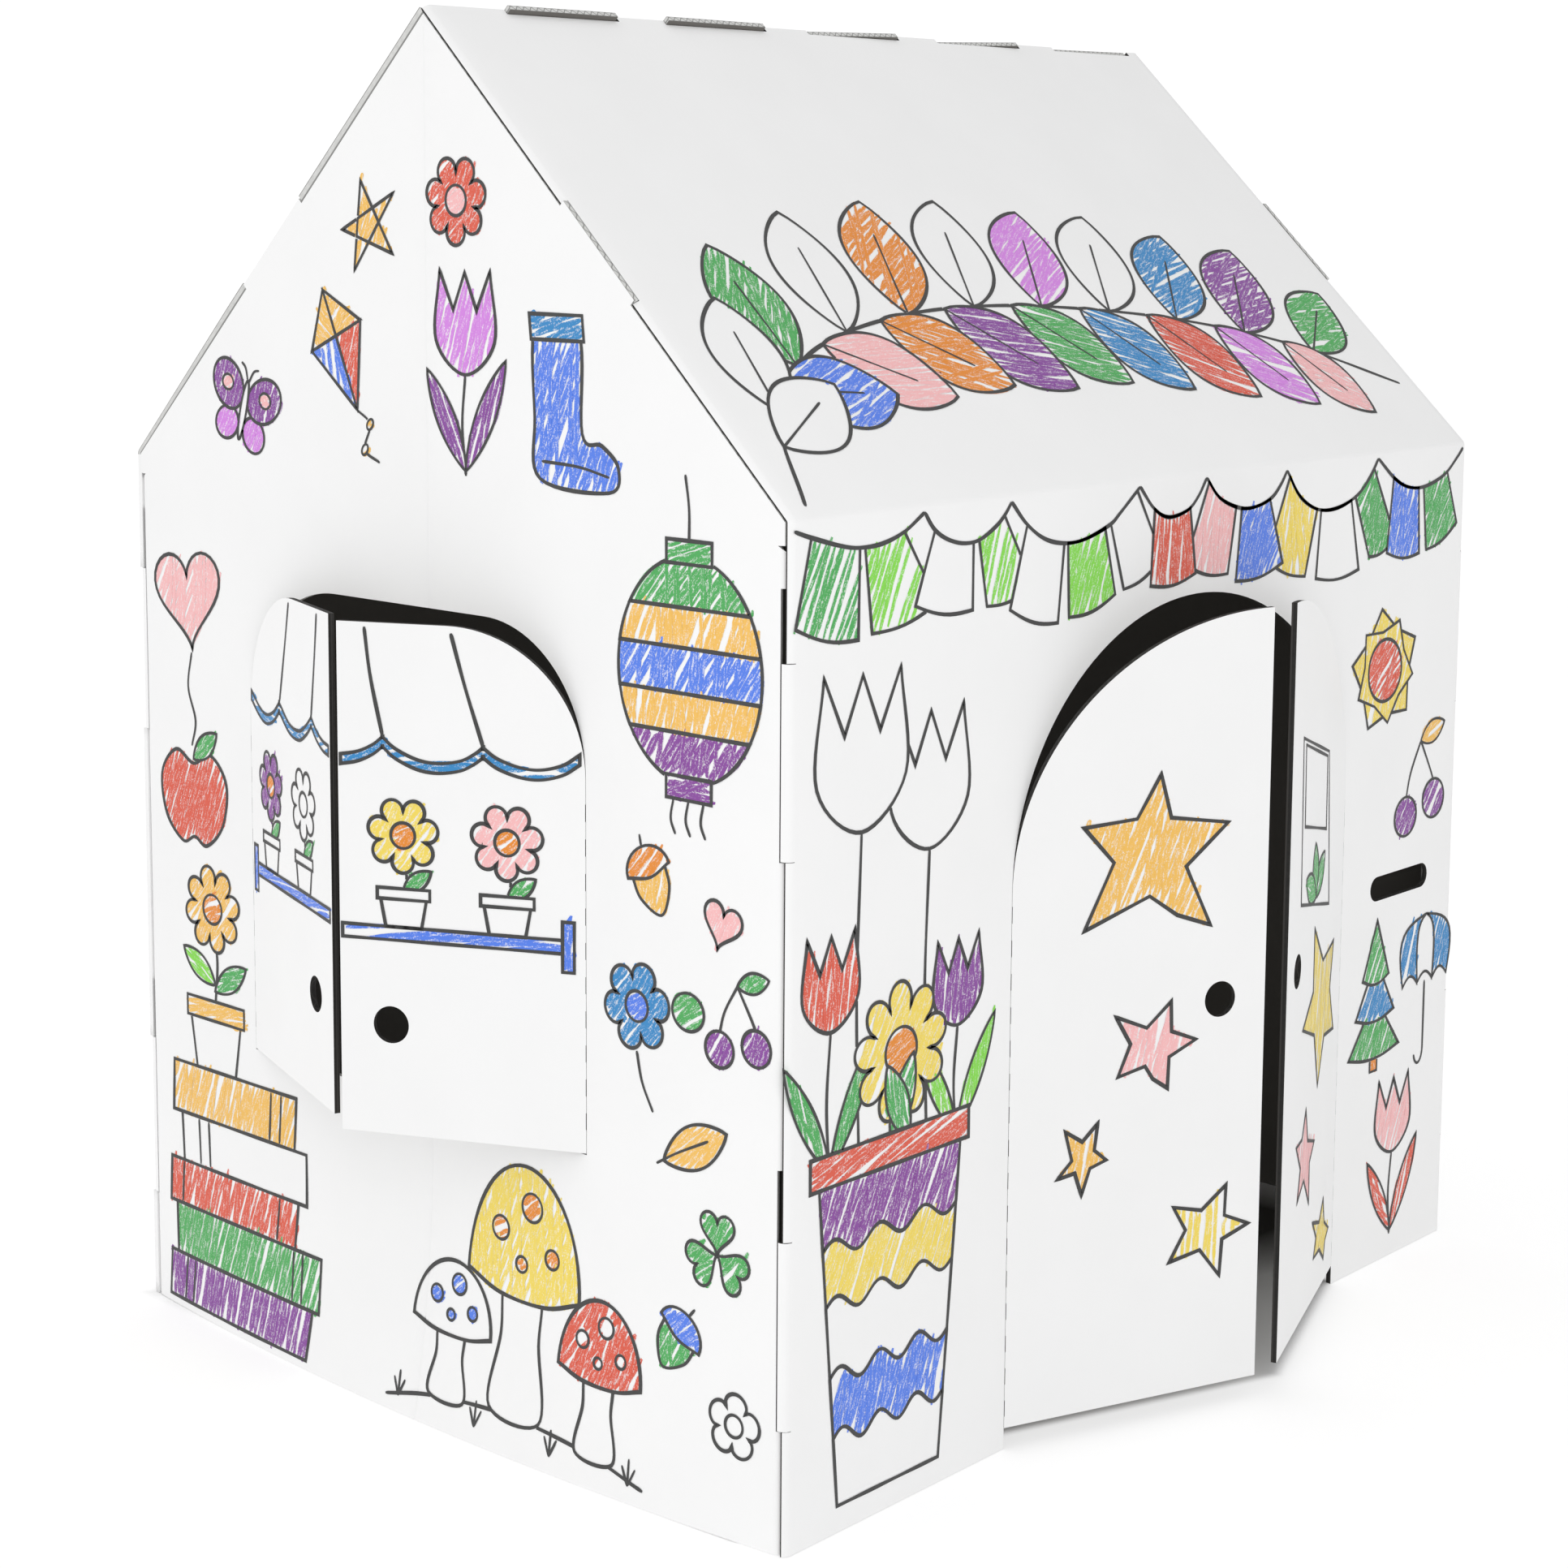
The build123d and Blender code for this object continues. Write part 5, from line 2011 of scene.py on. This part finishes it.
@dataclass
class Studio:
    """Floor, light and camera. The camera is fitted to the corners of the house in a 1932 px square frame."""

    frame_px: float = 1932.0
    focal_px: float = 3596.9
    axis_px: Pair = (966.0, 690.0)
    azimuth: float = -47.808  # degrees, as are the next two
    pitch: float = 7.1045
    roll: float = 0.3533
    place: Triple = (-2.0699, -1.8244, 1.0350)  # m from the middle of the house's foot
    sensor: float = 36.0  # mm
    view_depth: float = 200.0  # m
    sky: Pair = (0.45, 1.04)  # strength of the surround before the front and behind the house
    sky_span: Pair = (-1.0, 0.35)  # y of the directions that have them
    top_gain: float = 0.17
    top_from: float = 0.1  # sine of the height above the horizon from which the gain grows
    dim_way: Triple = (0.8, 0.6, 0.0)  # direction of the dim side, behind the house
    dim_loss: float = 0.75  # share of the surround's light that is missing there
    dim_width: Pair = (0.5, 0.85)  # cosines from that direction at which it starts and is full
    dim_height: Pair = (0.1, 0.25)  # sines of the height above the horizon likewise
    softbox: Triple = (-1.4, -2.6, 1.35)
    softbox_size: float = 1.3
    softbox_power: float = 8.6
    softbox_aim: float = 0.5  # m above the floor
    floor_half: float = 60.0
    floor_gap: float = 0.4  # mm under the walls' feet

    def build(self) -> None:
        """Makes the floor, the lights and the camera."""
        self.build_floor()
        self.build_light()
        self.build_camera()

    def build_floor(self) -> None:
        """Makes one large flat sheet just under the walls' feet."""
        half, level = self.floor_half, -self.floor_gap * MM
        mesh = bpy.data.meshes.new("floor")
        corners = [(-half, -half, level), (half, -half, level), (half, half, level), (-half, half, level)]
        mesh.from_pydata(corners, [], [(0, 1, 2, 3)])
        mesh.materials.append(FLOOR.material())
        floor = bpy.data.objects.new("floor", mesh)
        bpy.context.scene.collection.objects.link(floor)

    def build_light(self) -> None:
        """Sets a white surround and a soft light at a corner.

        The surround is dimmer before the front, brighter from above and dim high up behind the house.
        """
        world = bpy.data.worlds.new("studio")
        world.use_nodes = True
        tree = world.node_tree
        way = add_node(tree, "TexCoord").outputs["Generated"]
        part = add_node(tree, "SeparateXYZ", {0: way})
        ahead, height = part.outputs["Y"], part.outputs["Z"]
        span = dict(zip(("From Min", "From Max", "To Min", "To Max"), (*self.sky_span, *self.sky)))
        level = add_node(tree, "MapRange", {"Value": ahead, **span})
        raised = add_node(tree, "Math", {0: height, 1: self.top_from}, operation="MAXIMUM")
        strength = add_node(tree, "Math", {0: raised, 1: self.top_gain, 2: level}, operation="MULTIPLY_ADD")
        toward = add_node(tree, "VectorMath", {0: way, 1: self.dim_way}, operation="DOT_PRODUCT").outputs["Value"]
        shares = []
        for value, (start, full) in ((toward, self.dim_width), (height, self.dim_height)):
            span = {"Value": value, "From Min": start, "From Max": full}
            shares.append(add_node(tree, "MapRange", span, interpolation_type="SMOOTHSTEP"))
        dim = add_node(tree, "Math", dict(enumerate(shares)), operation="MULTIPLY")
        kept = add_node(tree, "Math", {0: dim, 1: -self.dim_loss, 2: 1.0}, operation="MULTIPLY_ADD")
        light = add_node(tree, "Math", {0: strength, 1: kept}, operation="MULTIPLY")
        surround = tree.nodes["Background"]
        surround.inputs["Color"].default_value = linear("#ffffff")
        tree.links.new(light.outputs[0], surround.inputs["Strength"])
        scene = bpy.context.scene
        scene.view_settings.view_transform = "Standard"
        scene.world = world
        lamp = bpy.data.lights.new("corner_softbox", "AREA")
        lamp.size = self.softbox_size
        lamp.energy = self.softbox_power
        softbox = bpy.data.objects.new("corner_softbox", lamp)
        softbox.location = self.softbox
        aim = Vector((0.0, HOUSE_MIDDLE_Y, self.softbox_aim)) - softbox.location
        softbox.rotation_euler = aim.to_track_quat("-Z", "Y").to_euler()
        scene.collection.objects.link(softbox)

    def build_camera(self) -> None:
        """Makes the camera from the fitted angles: it looks along -Z of the matrix (right, up, back)."""
        azimuth, pitch, roll = radians(self.azimuth), radians(self.pitch), radians(self.roll)
        back = Vector((sin(azimuth) * cos(pitch), -cos(azimuth) * cos(pitch), sin(pitch)))
        level = Vector((0, 0, 1)).cross(back).normalized()
        upright = back.cross(level)
        right = cos(roll) * level + sin(roll) * upright
        up = cos(roll) * upright - sin(roll) * level
        lens = bpy.data.cameras.new("camera")
        lens.sensor_width = self.sensor
        lens.lens = self.sensor * self.focal_px / self.frame_px
        lens.shift_x = (self.frame_px / 2 - self.axis_px[0]) / self.frame_px
        lens.shift_y = (self.axis_px[1] - self.frame_px / 2) / self.frame_px
        lens.clip_end = self.view_depth
        camera = bpy.data.objects.new("camera", lens)
        turn = Matrix((right, up, back)).transposed().to_4x4()
        camera.matrix_world = Matrix.Translation(Vector(self.place) + Vector((0, HOUSE_MIDDLE_Y, 0))) @ turn
        bpy.context.scene.collection.objects.link(camera)
        bpy.context.scene.camera = camera


def main() -> None:
    """Builds the sheets, their drawings and the studio."""
    logging.basicConfig(level=logging.INFO, format="%(name)s %(message)s")
    front = FoldedSheet("front_sheet", Body.HOUSE, Side.FRONT)
    back = FoldedSheet("back_sheet", Body.HOUSE, Side.BACK)
    window_gable = Gable("window_gable", Body.HOUSE, End.WINDOW, flare=24.0)
    plain_gable = Gable("plain_gable", Body.HOUSE, End.PLAIN)
    left_door = Door("left_door", Body.LEFT_DOOR, front, -223.0, 21.0, Hand.LEFT)
    right_door = Door("right_door", Body.RIGHT_DOOR, front, 287.0, 21.0, Hand.RIGHT)
    shutter = {"width": 214.0, "hole": (169.0, 363.0)}
    left_shutter = Shutter("left_shutter", Body.LEFT_SHUTTER, window_gable, -241.0, 20.0, Hand.LEFT, **shutter)
    right_shutter = Shutter("right_shutter", Body.RIGHT_SHUTTER, window_gable, 187.0, 26.0, Hand.RIGHT, **shutter)
    for sheet in (front, back, window_gable, plain_gable, left_door, right_door, left_shutter, right_shutter):
        sheet.build()
    doors = (("left_door", left_door, 31, LEFT_STARS, ()), ("right_door", right_door, 37, RIGHT_STARS, SIGN))
    shutters = (
        ("left_shutter", left_shutter, 41, LEFT_SCALLOPS, LEFT_SEAMS, LEFT_POTS, (-230, -32)),
        ("right_shutter", right_shutter, 43, RIGHT_SCALLOPS, RIGHT_SEAMS, RIGHT_POTS, (-24, 172)),
    )
    FrontPicture("front", front, 11).build()
    BackPicture("back", back, 53, coloured=False).build()
    GablePicture("window_gable", window_gable, 23).build()
    PlainGablePicture("plain_gable", plain_gable, 59, coloured=False).build()
    for name, sheet, seed, stars, sign in doors:
        DoorPicture(name, sheet, seed, stars=stars, sign=sign).build()
    for name, sheet, seed, scallops, seams, pots, shelf in shutters:
        ShutterPicture(name, sheet, seed, scallops=scallops, seams=seams, pots=pots, shelf=shelf).build()
    Studio().build()


if __name__ == "__main__":
    main()
